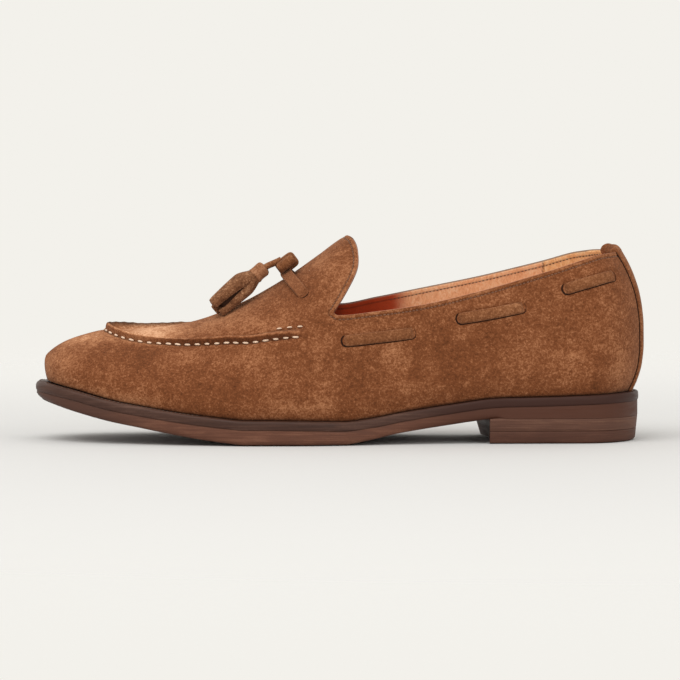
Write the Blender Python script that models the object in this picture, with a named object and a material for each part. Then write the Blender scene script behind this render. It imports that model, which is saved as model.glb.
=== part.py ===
"""Tassel loafer, left shoe: a moccasin-fronted slip-on of suede on a stacked sole.

Metres, +Z up. The toe points along -X, the lateral side is -Y, and the origin is
on the floor under the middle of the heel. One object for each piece a maker joins.
"""
import bisect
import math

import bmesh
import bpy
import numpy as np
from mathutils import Matrix, Vector

# Driving dimensions of the last and the upper
LAST_LENGTH = 0.2960
HEEL_BACK = 0.0396          # the heel's rearmost point, behind the origin
BALL_WIDTH = 0.100          # across the upper's widest point
TONGUE_HEIGHT = 0.100       # floor to the tip of the tongue
WALL = 0.0021
TUCK_HEIGHT = 0.014         # how far up the wall leans in towards the welt
CLEARANCE = 0.0003
RIBBON_GAP = 0.00045        # under thongs, strap and backstay, clear of the facets
SEAT_GAP = 0.0009           # under the bow and the tassels

# The raised seam around the apron
RIDGE_HEIGHT = 0.0026
RIDGE_WIDTH = 0.0040

# Sole, heel and insole
WELT_THICKNESS = 0.0045
OUTSOLE_THICKNESS = 0.0067
HEEL_LIFT_HEIGHT = 0.0064
TOP_PIECE_HEIGHT = 0.0058
TOE_SPRING = 0.0200         # floor to the tread's tip at the toe
EDGE_LIFT = 0.0012          # the tread's edges curve up off the floor
EDGE_STEP = 0.0004          # the outsole's edge stands in under the welt's
HEEL_TAPER = 0.0012         # how much narrower the heel is at the floor, all round
HEEL_EDGE_ROUND = 0.0016
BREAST_HOLLOW = 0.0030      # depth of the heel's concave front face
INSOLE_THICKNESS = 0.0028
BREAST_LATERAL = -0.0362    # where the heel's front face meets each side
BREAST_MEDIAL = -0.0425

# Backstay, a strip up the back of the heel that folds over the collar
BACKSTAY_HALF_WIDTH = 0.0092
BACKSTAY_THICKNESS = 0.0012
BACKSTAY_FOLD = 0.0100      # how far it reaches down inside
BACKSTAY_TOP_ROLL = 0.0010  # how far the fold stands up above the rim

# Thong laced round the collar
THONG_WIDTH = 0.0056
THONG_THICKNESS = 0.0016

# Strap over the vamp, and the bow on it
STRAP_WIDTH = 0.0060
STRAP_THICKNESS = 0.0015
STRAP_AT = 0.4105           # its middle, as a share of LAST_LENGTH
STRAP_BOW = 0.0290          # how much further back its ends lie, as a share
STRAP_SPREAD = 34.0         # degrees from its middle to each end, round the vamp
BOW_SLOPE = 37.0            # degrees, the vamp's slope under the bow
BOW_DEPTH = 0.0084          # width of the ribbon, up the slope
BOW_HEIGHT = 0.0053
BOW_REACH = 0.0125          # from the middle to the end of each loop
BOW_WALL = 0.0015
BOW_PINCH = 0.62            # how far the knot presses the loops together
BOW_SHIFT = 0.0032          # how far up the slope from the strap's middle it sits
KNOT_WIDTH = 0.0062
KNOT_WALL = 0.0014

# Thong ends and tassels
END_DIAMETER = 0.0026
HEAD_RADIUS = 0.0036
HEAD_LENGTH = 0.0068
FRINGE_LENGTH = 0.0245
FRINGE_HALF_WIDTH = 0.0056  # across, at the fringe's end
FRINGE_HALF_DEPTH = 0.0056  # out of the vamp, at the fringe's end
FRINGE_BULGE = 0.0007       # how much fuller it is half way down
FRINGE_UNDERSIDE = 0.58     # how much of that depth is left where it rests
FRINGE_STRIPS = 5
FRINGE_GROOVE = 0.24        # depth of the slits between strips, as a share
TASSEL_SLOPE = 40.0         # degrees down from level
TASSEL_SPLAY = 15.0         # degrees outwards in plan
TASSEL_AHEAD = 0.0106       # from the bow's middle forward to a tassel's top
TASSEL_APART = 0.0070       # from the centre line out to a tassel's top

# Sections of the last, from toe to heel. "at" is a share of LAST_LENGTH, the half
# widths, the lean of the wall and the welt's reach are shares of BALL_WIDTH, sole
# is a share of outsole and welt together, and roundness shapes the section (2 is
# an ellipse).
SECTION_COLUMNS = ("at", "lateral", "medial", "sole", "tuck", "reach", "roundness")
SECTIONS = (
    (0.00, 0.330, 0.320, 0.830, 0.022, 0.056, 1.60),
    (0.07, 0.340, 0.335, 0.965, 0.022, 0.055, 1.60),
    (0.13, 0.375, 0.365, 0.955, 0.022, 0.052, 1.65),
    (0.20, 0.437, 0.412, 0.990, 0.023, 0.050, 1.75),
    (0.28, 0.482, 0.447, 1.060, 0.024, 0.050, 1.85),
    (0.36, 0.510, 0.452, 1.100, 0.024, 0.048, 1.80),
    (0.43, 0.510, 0.432, 1.080, 0.024, 0.044, 1.72),
    (0.51, 0.482, 0.388, 1.030, 0.026, 0.036, 1.72),
    (0.59, 0.437, 0.350, 0.930, 0.032, 0.028, 1.76),
    (0.67, 0.400, 0.335, 0.930, 0.036, 0.026, 1.80),
    (0.75, 0.378, 0.335, 0.930, 0.030, 0.026, 1.80),
    (0.83, 0.362, 0.338, 0.960, 0.026, 0.025, 1.82),
    (0.92, 0.345, 0.325, 1.030, 0.024, 0.028, 1.85),
    (1.00, 0.320, 0.305, 1.100, 0.024, 0.042, 1.85),
)

# Centre line of the instep: share of LAST_LENGTH, share of TONGUE_HEIGHT. Behind
# the tongue it only closes the section above the open collar.
CREST_COLUMNS = ("at", "height")
CREST = (
    (0.000, 0.290),
    (0.005, 0.412),
    (0.012, 0.434),
    (0.025, 0.463),
    (0.038, 0.484),
    (0.065, 0.513),
    (0.105, 0.541),
    (0.150, 0.553),
    (0.200, 0.566),
    (0.250, 0.586),
    (0.280, 0.608),
    (0.320, 0.658),
    (0.345, 0.692),
    (0.386, 0.760),
    (0.421, 0.826),
    (0.461, 0.910),
    (0.503, 0.998),
    (0.561, 1.065),
    (0.627, 1.110),
    (0.727, 1.150),
    (0.860, 1.200),
    (1.000, 1.220),
)

# Lower side of the tread: share of LAST_LENGTH, share of TOE_SPRING in front of
# the flat and of the heel's height behind it.
SPRING_COLUMNS = ("at", "height")
SPRING = (
    (0.000, 1.000),
    (0.065, 0.728),
    (0.118, 0.535),
    (0.172, 0.385),
    (0.225, 0.240),
    (0.265, 0.140),
    (0.305, 0.060),
    (0.345, 0.000),
    (1.000, 0.000),
)
ARCH_COLUMNS = ("at", "height")
ARCH = (
    (0.000, 0.000),
    (0.500, 0.000),
    (0.545, 0.163),
    (0.595, 0.425),
    (0.640, 0.600),
    (0.680, 0.745),
    (0.715, 0.872),
    (0.745, 0.965),
    (0.775, 1.000),
    (1.000, 1.000),
)

# Apron seam, carried on to the heel as a line half way up the quarter: share of
# LAST_LENGTH, degrees round the section from the lower edge.
APRON_COLUMNS = ("at", "lateral", "medial")
APRON_TOE = 0.104
APRON = (
    (0.00, 48.0, 58.0),
    (0.26, 47.5, 57.0),
    (0.345, 42.3, 48.0),
    (0.42, 38.0, 41.0),
    (0.49, 31.0, 32.5),
    (0.63, 23.3, 23.3),
    (0.76, 20.6, 20.6),
    (0.86, 21.0, 21.0),
    (1.00, 21.2, 21.2),
)
APRON_END = 0.425
APRON_FADE = 0.050

# Free edge of the tongue, from its tip down to the throat: share of LAST_LENGTH,
# share of TONGUE_HEIGHT.
TONGUE_COLUMNS = ("at", "height")
TONGUE_EDGE = (
    (0.5090, 1.006),
    (0.5175, 0.990),
    (0.5242, 0.945),
    (0.5258, 0.880),
    (0.5200, 0.820),
    (0.5042, 0.730),
    (0.4908, 0.665),
    (0.4850, 0.640),
)

# Top line of the collar, from the throat to the heel.
COLLAR_COLUMNS = ("at", "lateral", "medial")
COLLAR = (
    (0.485, 0.640, 0.665),
    (0.494, 0.627, 0.655),
    (0.560, 0.646, 0.690),
    (0.630, 0.675, 0.732),
    (0.732, 0.744, 0.794),
    (0.834, 0.829, 0.866),
    (0.920, 0.893, 0.918),
    (0.970, 0.920, 0.930),
    (1.000, 0.925, 0.925),
)

# Lengths of the thong that show between its slots: start and end as shares of
# LAST_LENGTH, and how far below the top line each end lies, as shares of
# TONGUE_HEIGHT.
THONG_COLUMNS = ("start", "end", "drop_start", "drop_end")
THONG = (
    (0.500, 0.621, 0.122, 0.127),
    (0.689, 0.803, 0.105, 0.136),
    (0.867, 0.969, 0.108, 0.104),
)

# Back of the heel: share of TONGUE_HEIGHT, and how far in from the rearmost point
# as a share of BALL_WIDTH.
HEEL_COLUMNS = ("height", "inset")
HEEL_CURVE = (
    (0.245, 0.055),
    (0.300, 0.030),
    (0.380, 0.008),
    (0.470, 0.000),
    (0.570, 0.001),
    (0.640, 0.007),
    (0.720, 0.021),
    (0.800, 0.046),
    (0.860, 0.072),
    (0.925, 0.108),
)

# Binding at a tassel's top: share of HEAD_LENGTH, share of HEAD_RADIUS.
HEAD_COLUMNS = ("along", "radius")
HEAD = (
    (0.00, 0.62),
    (0.09, 0.90),
    (0.44, 1.00),
    (0.86, 1.00),
    (1.00, 0.90),
)

HEEL_CURVE_START = 0.80     # share of LAST_LENGTH where that curve begins to act
TOE_ROUND = 0.135           # share of LAST_LENGTH in which the toe closes
HEEL_ROUND = 0.090
TOE_BLEND = 0.37            # behind this share the contours no longer follow the toe

# Mesh density of the upper
FRONT_STEPS = 19
BACK_STEPS = 21
SIDE_STEPS = 6
TOP_STEPS = 6
SOLE_STEPS = 40
HEEL_STEPS = 16
BREAST_STEPS = 6
THONG_STEPS = 10
STRAP_STEPS = 14
STRIP_STEPS = 6
FRINGE_STEPS = 5
CURVE_SAMPLES = 300
PLATE_INSETS = (1.0, 0.5)   # rings of a plate, as shares of its width
TREAD_INSETS = (1.0, 0.72, 0.3)
RIBBON_PROFILE = ((-1.0, 0.45), (-0.72, 0.88), (0.0, 1.0), (0.72, 0.88), (1.0, 0.45))

SUEDE = (0.199, 0.068, 0.025, 1.0)
SUEDE_DARK = (0.170, 0.056, 0.021, 1.0)
LEATHER_SOLE = (0.139, 0.062, 0.039, 1.0)
WELT_COLOUR = (0.064, 0.032, 0.020, 1.0)
LINING = (0.560, 0.270, 0.135, 1.0)
HEEL_LEATHER = (0.110, 0.052, 0.030, 1.0)
RUBBER_DARK = (0.080, 0.045, 0.032, 1.0)


def monotone_curve(rows, column, power=1.0):
    """Return a smooth curve through the table's first column and another one.

    It never overshoots between two rows. A power below 1 stretches the start, for
    a profile that rises steeply there.
    """
    xs = [row[0] ** power for row in rows]
    ys = [row[column] for row in rows]
    steps = [xs[i + 1] - xs[i] for i in range(len(xs) - 1)]
    slopes = [(ys[i + 1] - ys[i]) / steps[i] for i in range(len(steps))]
    tangents = [slopes[0]]
    for i in range(1, len(slopes)):
        if slopes[i - 1] * slopes[i] <= 0:
            tangents.append(0.0)
        else:
            before = 2 * steps[i] + steps[i - 1]
            after = steps[i] + 2 * steps[i - 1]
            tangents.append((before + after) / (before / slopes[i - 1] + after / slopes[i]))
    tangents.append(slopes[-1])

    def value(x):
        x = min(max(x, rows[0][0]), rows[-1][0]) ** power
        i = min(max(bisect.bisect_right(xs, x) - 1, 0), len(steps) - 1)
        t = (x - xs[i]) / steps[i]
        start = ys[i] * (1 + 2 * t) * (1 - t) ** 2
        start_slope = tangents[i] * steps[i] * t * (1 - t) ** 2
        end = ys[i + 1] * t * t * (3 - 2 * t)
        end_slope = tangents[i + 1] * steps[i] * t * t * (t - 1)
        return start + start_slope + end + end_slope

    return value


def table_curves(columns, rows, power=1.0):
    """A curve for each named column of a table over its first column."""
    return {name: monotone_curve(rows, i, power) for i, name in enumerate(columns)}


section_curves = table_curves(SECTION_COLUMNS, SECTIONS)
crest_curve = table_curves(CREST_COLUMNS, CREST, power=0.4)["height"]
spring_curve = table_curves(SPRING_COLUMNS, SPRING)["height"]
arch_curve = table_curves(ARCH_COLUMNS, ARCH)["height"]
apron_curves = table_curves(APRON_COLUMNS, APRON)
collar_curves = table_curves(COLLAR_COLUMNS, COLLAR)
heel_curve = table_curves(HEEL_COLUMNS, HEEL_CURVE)["inset"]


def smooth(t):
    """Ease from 0 to 1."""
    t = min(max(t, 0.0), 1.0)
    return t * t * (3 - 2 * t)


def place(at):
    """X of a share of the last's length, counted from the toe."""
    return HEEL_BACK - LAST_LENGTH * (1 - at)


def tread_height(at):
    """Lower side of the outsole, above the floor."""
    heel = HEEL_LIFT_HEIGHT + TOP_PIECE_HEIGHT
    return spring_curve(at) * TOE_SPRING + arch_curve(at) * heel


def edge_height(at):
    """Lower edge of the upper, on the welt."""
    thickness = section_curves["sole"](at) * (OUTSOLE_THICKNESS + WELT_THICKNESS)
    return tread_height(at) + thickness


def half_width(at, side):
    """Half width of the upper at its widest level."""
    toe = 1 - min(at / TOE_ROUND, 1.0)
    heel = 1 - min((1 - at) / HEEL_ROUND, 1.0)
    rounding = math.sqrt(max(0.0, 1 - toe * toe)) * math.sqrt(max(0.0, 1 - heel * heel))
    return section_curves[side](at) * BALL_WIDTH * rounding


def outline_normal(at, side):
    """Outward direction in plan of the widest outline, as (along +X, away from the axis)."""
    step = 0.0005
    low = max(at - step, 0.0)
    high = min(at + step, 1.0)
    if low == 0.0:
        return (-1.0, 0.0)
    if high == 1.0:
        return (1.0, 0.0)
    slope = (half_width(high, side) - half_width(low, side)) / ((high - low) * LAST_LENGTH)
    size = math.hypot(slope, 1.0)
    return (-slope / size, 1.0 / size)


def surface(at, angle, side):
    """Outer surface of the closed last: angle 0 is the lower edge, 90 degrees the crest."""
    low = edge_height(at)
    rise = crest_curve(at) * TONGUE_HEIGHT - low
    power = 2 / section_curves["roundness"](at)
    z = low + rise * max(math.sin(angle), 0.0) ** power
    across = half_width(at, side) * math.cos(angle)
    x = place(at)
    lean = (1 - min((z - low) / TUCK_HEIGHT, 1.0)) ** 2
    inward = section_curves["tuck"](at) * BALL_WIDTH * lean
    normal = outline_normal(at, side)
    x -= normal[0] * inward
    across = max(across - normal[1] * inward, 0.0)
    inset = heel_curve(z / TONGUE_HEIGHT) * BALL_WIDTH
    back = smooth((at - HEEL_CURVE_START) / (1 - HEEL_CURVE_START))
    x -= max(inset - inward, 0.0) * back
    return Vector((x, -across if side == "lateral" else across, z))


def angle_at_height(at, height):
    low = edge_height(at)
    rise = crest_curve(at) * TONGUE_HEIGHT - low
    share = min(max((height - low) / rise, 0.0), 1.0)
    return math.asin(share ** (section_curves["roundness"](at) / 2))


def spread(points, lengths, start, stop, steps):
    """Pick steps + 1 entries of points at equal distances from start to stop."""
    chosen = []
    i = 0
    for k in range(steps + 1):
        goal = start + (stop - start) * k / steps
        while i < len(lengths) - 2 and lengths[i + 1] < goal:
            i += 1
        gap = lengths[i + 1] - lengths[i]
        t = 0.0 if gap == 0 else min(max((goal - lengths[i]) / gap, 0.0), 1.0)
        chosen.append(tuple(a + (b - a) * t for a, b in zip(points[i], points[i + 1])))
    return chosen


def running_lengths(places):
    lengths = [0.0]
    for a, b in zip(places, places[1:]):
        lengths.append(lengths[-1] + (b - a).length)
    return lengths


def toe_stations(steps):
    """Shares of the length where the contours cross the toe's centre line."""
    samples = [(APRON_TOE * (i / CURVE_SAMPLES) ** 4,) for i in range(CURVE_SAMPLES + 1)]
    places = [surface(s[0], math.pi / 2, "lateral") for s in samples]
    lengths = running_lengths(places)
    return [s[0] for s in spread(samples, lengths, 0.0, lengths[-1], steps)]


def lower_contour(level, toe, side):
    """One line around the side of the upper, from the toe's centre to the heel's.

    level is 0 at the lower edge and 1 on the apron seam, and toe is the share of
    the length where the line crosses the toe.
    """
    samples = []
    throat = TONGUE_EDGE[-1][0]
    for i in range(CURVE_SAMPLES + 1):
        at = toe + (1 - toe) * (1 - math.cos(math.pi * i / CURVE_SAMPLES)) / 2
        source = at
        if at < TOE_BLEND:
            source = (at - toe) * TOE_BLEND / (TOE_BLEND - toe)
        angle = math.radians(apron_curves[side](at)) * level
        width = half_width(at, side)
        across = half_width(source, side) * math.cos(angle)
        if width > 0 and at < TOE_BLEND:
            angle = math.acos(min(across / width, 1.0))
        if i == 0 and level > 0:
            angle = math.pi / 2
        samples.append((at, angle))
    places = [surface(at, angle, side) for at, angle in samples]
    lengths = running_lengths(places)
    split = next(i for i, s in enumerate(samples) if s[0] >= throat)
    front = spread(samples, lengths, 0.0, lengths[split], FRONT_STEPS)
    back = spread(samples, lengths, lengths[split], lengths[-1], BACK_STEPS)
    return front + back[1:]


def free_edge(side):
    """The cut edge from the tongue's tip to the throat and along the collar."""
    scale = collar_curves[side](COLLAR[0][0]) / TONGUE_EDGE[-1][1]
    tongue = []
    rows = TONGUE_EDGE
    for i in range(CURVE_SAMPLES + 1):
        t = i / CURVE_SAMPLES * (len(rows) - 1)
        k = min(int(t), len(rows) - 2)
        before = rows[abs(k - 1)]
        after = rows[min(k + 2, len(rows) - 1)]
        f = t - k
        point = []
        for c in range(len(TONGUE_COLUMNS)):
            a, b, d, e = before[c], rows[k][c], rows[k + 1][c], after[c]
            curve = 2 * b + (d - a) * f + (2 * a - 5 * b + 4 * d - e) * f * f
            curve += (3 * b - a - 3 * d + e) * f ** 3
            point.append(curve / 2)
        lift = 1 + (scale - 1) * smooth((rows[0][1] - point[1]) / (rows[0][1] - rows[-1][1]))
        angle = math.pi / 2 if i == 0 else angle_at_height(point[0], point[1] * TONGUE_HEIGHT * lift)
        tongue.append((point[0], angle))
    collar = []
    start = COLLAR[0][0]
    for i in range(CURVE_SAMPLES + 1):
        at = start + (1 - start) * math.sin(math.pi / 2 * i / CURVE_SAMPLES)
        collar.append((at, angle_at_height(at, collar_curves[side](at) * TONGUE_HEIGHT)))
    chosen = []
    for line, steps in ((tongue, FRONT_STEPS), (collar, BACK_STEPS)):
        lengths = running_lengths([surface(at, angle, side) for at, angle in line])
        picked = spread(line, lengths, 0.0, lengths[-1], steps)
        chosen += picked if not chosen else picked[1:]
    return chosen


def side_grid(side):
    """Rows of (place, ridge share) from the lower edge up to the free edge."""
    rows = []
    stations = toe_stations(SIDE_STEPS)
    line = []
    for k in range(SIDE_STEPS + 1):
        line = lower_contour(k / SIDE_STEPS, stations[k], side)
        rows.append([(surface(at, angle, side), 0.0) for at, angle in line])
    top = free_edge(side)
    ridge_shares = (0.30, 0.62, 1.0)
    ridge_rises = (1.0, 1.0, 0.0)
    ridge_rows = [[] for _ in ridge_shares]
    inner_starts = []
    for low, high in zip(line, top):
        span = (surface(*high, side) - surface(*low, side)).length
        fade = 1 - smooth((low[0] - APRON_END + APRON_FADE / 2) / APRON_FADE)
        for row, share, rise in zip(ridge_rows, ridge_shares, ridge_rises):
            t = share * RIDGE_WIDTH / span
            spot = [a + (b - a) * t for a, b in zip(low, high)]
            row.append((surface(*spot, side), rise * fade))
        inner_starts.append(RIDGE_WIDTH / span)
    rows += ridge_rows
    for k in range(1, TOP_STEPS + 1):
        row = []
        for low, high, first in zip(line, top, inner_starts):
            t = first + (1 - first) * k / TOP_STEPS
            spot = [a + (b - a) * t for a, b in zip(low, high)]
            row.append((surface(*spot, side), 0.0))
        rows.append(row)
    return rows


def upper_rings():
    """Join both sides into rings that start and end at the heel's centre line."""
    lateral = side_grid("lateral")
    medial = side_grid("medial")
    rings = []
    for near, far in zip(lateral, medial):
        rings.append(list(reversed(near)) + far[1:-1])
    return rings


def ring_normals(places):
    """Outward normals of a grid of closed rings, rows from low to high."""
    grid = np.array([[tuple(p) for p in row] for row in places])
    around = np.roll(grid, -1, axis=1) - np.roll(grid, 1, axis=1)
    up = np.gradient(grid, axis=0)
    normal = np.cross(up, around)
    normal /= np.linalg.norm(normal, axis=2, keepdims=True)
    return normal


def shell_mesh(name, outer, inner):
    """Close two grids of rings, outer and inner, with a strip along each rim."""
    mesh = bpy.data.meshes.new(name)
    bm = bmesh.new()
    skins = []
    for grid in (outer, inner):
        skins.append([[bm.verts.new(p) for p in row] for row in grid])
    count = len(outer[0])
    for skin, flip in ((skins[0], False), (skins[1], True)):
        for low, high in zip(skin, skin[1:]):
            for i in range(count):
                j = (i + 1) % count
                quad = (low[i], high[i], high[j], low[j])
                bm.faces.new(tuple(reversed(quad)) if flip else quad)
    for i in range(count):
        j = (i + 1) % count
        bm.faces.new((skins[0][0][i], skins[0][0][j], skins[1][0][j], skins[1][0][i]))
        bm.faces.new((skins[0][-1][j], skins[0][-1][i], skins[1][-1][i], skins[1][-1][j]))
    bmesh.ops.recalc_face_normals(bm, faces=bm.faces[:])
    bm.to_mesh(mesh)
    bm.free()
    return mesh


def material(name, colour, roughness):
    made = bpy.data.materials.new(name)
    made.use_nodes = True
    shader = made.node_tree.nodes["Principled BSDF"]
    shader.inputs["Base Color"].default_value = colour
    shader.inputs["Roughness"].default_value = roughness
    return made


def add_piece(name, mesh, collection, finish):
    piece = bpy.data.objects.new(name, mesh)
    mesh.materials.append(finish)
    mesh.shade_smooth()
    mesh.set_sharp_from_angle(angle=math.radians(35))
    collection.objects.link(piece)
    return piece


def make_upper(collection):
    rings = upper_rings()
    places = [[spot[0] for spot in row] for row in rings]
    normals = ring_normals(places)
    outer = []
    inner = []
    for r, row in enumerate(rings):
        outer_row = []
        inner_row = []
        for c, (spot, ridge) in enumerate(row):
            normal = Vector(normals[r][c])
            rim = Vector((spot.x, spot.y, spot.z))
            outer_row.append(rim + normal * RIDGE_HEIGHT * ridge)
            inner_row.append(rim - normal * WALL)
        outer.append(outer_row)
        inner.append(inner_row)
    for skin in (outer, inner):
        for spot, base in zip(skin[0], places[0]):
            spot.z = base.z
    mesh = shell_mesh("upper", outer, inner)
    return add_piece("upper", mesh, collection, material("suede", SUEDE, 0.95))


def sole_side(side, reach_share, extra, first=0.0):
    """Plan outline of one side from toe to heel as (at, x, distance from the axis).

    It lies reach_share of the welt's reach, and extra, outside the upper's lower
    edge.
    """
    samples = []
    for i in range(CURVE_SAMPLES + 1):
        at = first + (1 - first) * (1 - math.cos(math.pi * i / CURVE_SAMPLES)) / 2
        normal = outline_normal(at, side)
        tuck = section_curves["tuck"](at) * BALL_WIDTH
        offset = section_curves["reach"](at) * BALL_WIDTH * reach_share - tuck + extra
        back = smooth((at - HEEL_CURVE_START) / (1 - HEEL_CURVE_START))
        foot = heel_curve(edge_height(at) / TONGUE_HEIGHT) * BALL_WIDTH - tuck
        x = place(at) + normal[0] * offset - max(foot, 0.0) * back
        across = max(half_width(at, side) + normal[1] * offset, 0.0)
        samples.append((at, x, across))
    return samples


def even(samples, steps):
    lengths = running_lengths([Vector(sample[1:]) for sample in samples])
    return spread(samples, lengths, 0.0, lengths[-1], steps)


def sole_outline(reach_share, extra):
    """Plan outline as (at, x, y), once around from the toe, the lateral side first."""
    lateral = [(at, x, -y) for at, x, y in even(sole_side("lateral", reach_share, extra), SOLE_STEPS)]
    medial = even(sole_side("medial", reach_share, extra), SOLE_STEPS)
    return lateral + list(reversed(medial))[1:-1]


def plate_mesh(name, loop, top, bottom, insets):
    """A plate between two height functions of (at, inset), filled by shrinking rings.

    The loop starts at the toe and has as many points on each side.
    """
    mesh = bpy.data.meshes.new(name)
    bm = bmesh.new()
    count = len(loop)
    half = count // 2
    caps = []
    for height in (top, bottom):
        rings = []
        for inset in insets:
            ring = []
            for i, (at, x, y) in enumerate(loop):
                across = loop[(count - i) % count]
                middle_x = (x + across[1]) / 2
                middle_y = (y + across[2]) / 2
                spot_x = middle_x + (x - middle_x) * inset
                spot_y = middle_y + (y - middle_y) * inset
                ring.append(bm.verts.new((spot_x, spot_y, height(at, inset))))
            rings.append(ring)
        caps.append(rings)
    for rings, flip in ((caps[0], False), (caps[1], True)):
        for wide, narrow in zip(rings, rings[1:]):
            for i in range(count):
                j = (i + 1) % count
                quad = (wide[i], wide[j], narrow[j], narrow[i])
                bm.faces.new(tuple(reversed(quad)) if flip else quad)
        last = rings[-1]
        for i in range(half):
            corners = [last[i], last[i + 1]]
            for j in (count - i - 1, (count - i) % count):
                if last[j] not in corners:
                    corners.append(last[j])
            bm.faces.new(tuple(reversed(corners)) if flip else tuple(corners))
    for i in range(count):
        j = (i + 1) % count
        bm.faces.new((caps[0][0][j], caps[0][0][i], caps[1][0][i], caps[1][0][j]))
    bmesh.ops.remove_doubles(bm, verts=bm.verts[:], dist=0.00001)
    bmesh.ops.recalc_face_normals(bm, faces=bm.faces[:])
    bm.to_mesh(mesh)
    bm.free()
    return mesh


def make_sole(collection):
    def welt_top(at, inset):
        return edge_height(at) - CLEARANCE

    def welt_bottom(at, inset):
        return edge_height(at) - WELT_THICKNESS

    def sole_top(at, inset):
        return edge_height(at) - WELT_THICKNESS - CLEARANCE

    def sole_bottom(at, inset):
        lift = EDGE_LIFT if inset == 1.0 else 0.0
        return tread_height(at) + lift * (1 - arch_curve(at))

    loop = sole_outline(1.0, 0.0)
    welt = plate_mesh("welt", loop, welt_top, welt_bottom, PLATE_INSETS)
    add_piece("welt", welt, collection, material("welt_leather", WELT_COLOUR, 0.6))
    loop = sole_outline(1.0, -EDGE_STEP)
    outsole = plate_mesh("outsole", loop, sole_top, sole_bottom, TREAD_INSETS)
    add_piece("outsole", outsole, collection, material("sole_leather", LEATHER_SOLE, 0.55))


def make_insole(collection):
    def bottom(at, inset):
        return edge_height(at) + CLEARANCE

    def top(at, inset):
        return bottom(at, inset) + INSOLE_THICKNESS

    loop = sole_outline(0.0, -WALL - 2 * CLEARANCE)
    insole = plate_mesh("insole", loop, top, bottom, PLATE_INSETS)
    add_piece("insole", insole, collection, material("lining_leather", LINING, 0.6))


def heel_outline(extra):
    """Outline of the heel from the lateral breast corner round the back to the medial."""
    first = 1 - (HEEL_BACK - BREAST_MEDIAL) / LAST_LENGTH - 0.05
    loop = []
    for side, breast in (("lateral", BREAST_LATERAL), ("medial", BREAST_MEDIAL)):
        samples = sole_side(side, 1.0, extra, first)
        k = next(i for i, sample in enumerate(samples) if sample[1] > breast)
        a, b = samples[k - 1], samples[k]
        t = (breast - a[1]) / (b[1] - a[1])
        start = tuple(p + (q - p) * t for p, q in zip(a, b))
        line = even([start] + samples[k:], HEEL_STEPS)
        points = [(x, -y if side == "lateral" else y) for at, x, y in line]
        loop += points if side == "lateral" else list(reversed(points))[1:]
    first_point, last_point = loop[0], loop[-1]
    for i in range(1, BREAST_STEPS):
        t = i / BREAST_STEPS
        x = last_point[0] + (first_point[0] - last_point[0]) * t
        y = last_point[1] + (first_point[1] - last_point[1]) * t
        loop.append((x + BREAST_HOLLOW * 4 * t * (1 - t), y))
    return loop


def prism_mesh(name, top_loop, bottom_loop, top, bottom, edge_round):
    """A solid between two like outlines, with its lower edge rounded.

    top is a function of x, because the heel's seat bends where the arch begins.
    """
    mesh = bpy.data.meshes.new(name)
    bm = bmesh.new()
    above = [bm.verts.new((x, y, top(x))) for x, y in top_loop]
    below = [bm.verts.new((x, y, bottom)) for x, y in bottom_loop]
    cap = bm.faces.new(above)
    bm.faces.new(tuple(reversed(below)))
    count = len(above)
    for i in range(count):
        j = (i + 1) % count
        bm.faces.new((above[j], above[i], below[i], below[j]))
    bmesh.ops.triangulate(bm, faces=[cap])
    bmesh.ops.recalc_face_normals(bm, faces=bm.faces[:])
    if edge_round > 0:
        edges = [e for e in bm.edges if e.verts[0] in below and e.verts[1] in below]
        bmesh.ops.bevel(bm, geom=edges, offset=edge_round, segments=2, profile=0.5, affect="EDGES")
    bm.to_mesh(mesh)
    bm.free()
    return mesh


def make_heel(collection):
    seat = HEEL_LIFT_HEIGHT + TOP_PIECE_HEIGHT
    middle = HEEL_TAPER * HEEL_LIFT_HEIGHT / seat
    wide = heel_outline(-EDGE_STEP)
    waist = heel_outline(-EDGE_STEP - middle)
    narrow = heel_outline(-EDGE_STEP - HEEL_TAPER)

    def lift_top(x):
        return tread_height(1 - (HEEL_BACK - x) / LAST_LENGTH) - CLEARANCE

    def top_piece_top(x):
        return TOP_PIECE_HEIGHT

    lift = prism_mesh("heel_lift", wide, waist, lift_top, TOP_PIECE_HEIGHT + CLEARANCE, 0.0)
    add_piece("heel_lift", lift, collection, material("stacked_leather", HEEL_LEATHER, 0.55))
    top_piece = prism_mesh("heel_top_piece", waist, narrow, top_piece_top, 0.0, HEEL_EDGE_ROUND)
    add_piece("heel_top_piece", top_piece, collection, material("heel_rubber", RUBBER_DARK, 0.6))


def patch_mesh(name, under, over):
    """Close two like grids of points, one above the other, into a solid."""
    mesh = bpy.data.meshes.new(name)
    bm = bmesh.new()
    skins = [[[bm.verts.new(p) for p in row] for row in grid] for grid in (under, over)]
    rows = len(under)
    columns = len(under[0])
    for skin in skins:
        for r in range(rows - 1):
            for c in range(columns - 1):
                bm.faces.new((skin[r][c], skin[r][c + 1], skin[r + 1][c + 1], skin[r + 1][c]))
    border = [(0, c) for c in range(columns)]
    border += [(r, columns - 1) for r in range(1, rows)]
    border += [(rows - 1, c) for c in range(columns - 2, -1, -1)]
    border += [(r, 0) for r in range(rows - 2, 0, -1)]
    for (r, c), (k, m) in zip(border, border[1:] + border[:1]):
        bm.faces.new((skins[0][r][c], skins[0][k][m], skins[1][k][m], skins[1][r][c]))
    bmesh.ops.recalc_face_normals(bm, faces=bm.faces[:])
    bm.to_mesh(mesh)
    bm.free()
    return mesh


def skin_point(at, turn):
    """Point of the upper's outside; turn runs from 0 degrees, lateral, to 180, medial."""
    if turn <= 90:
        return surface(at, math.radians(turn), "lateral")
    return surface(at, math.radians(180 - turn), "medial")


def skin_normal(at, turn):
    along = skin_point(at + 0.003, turn) - skin_point(at - 0.003, turn)
    around = skin_point(at, turn + 1.5) - skin_point(at, turn - 1.5)
    return around.cross(along).normalized() * -1


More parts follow.
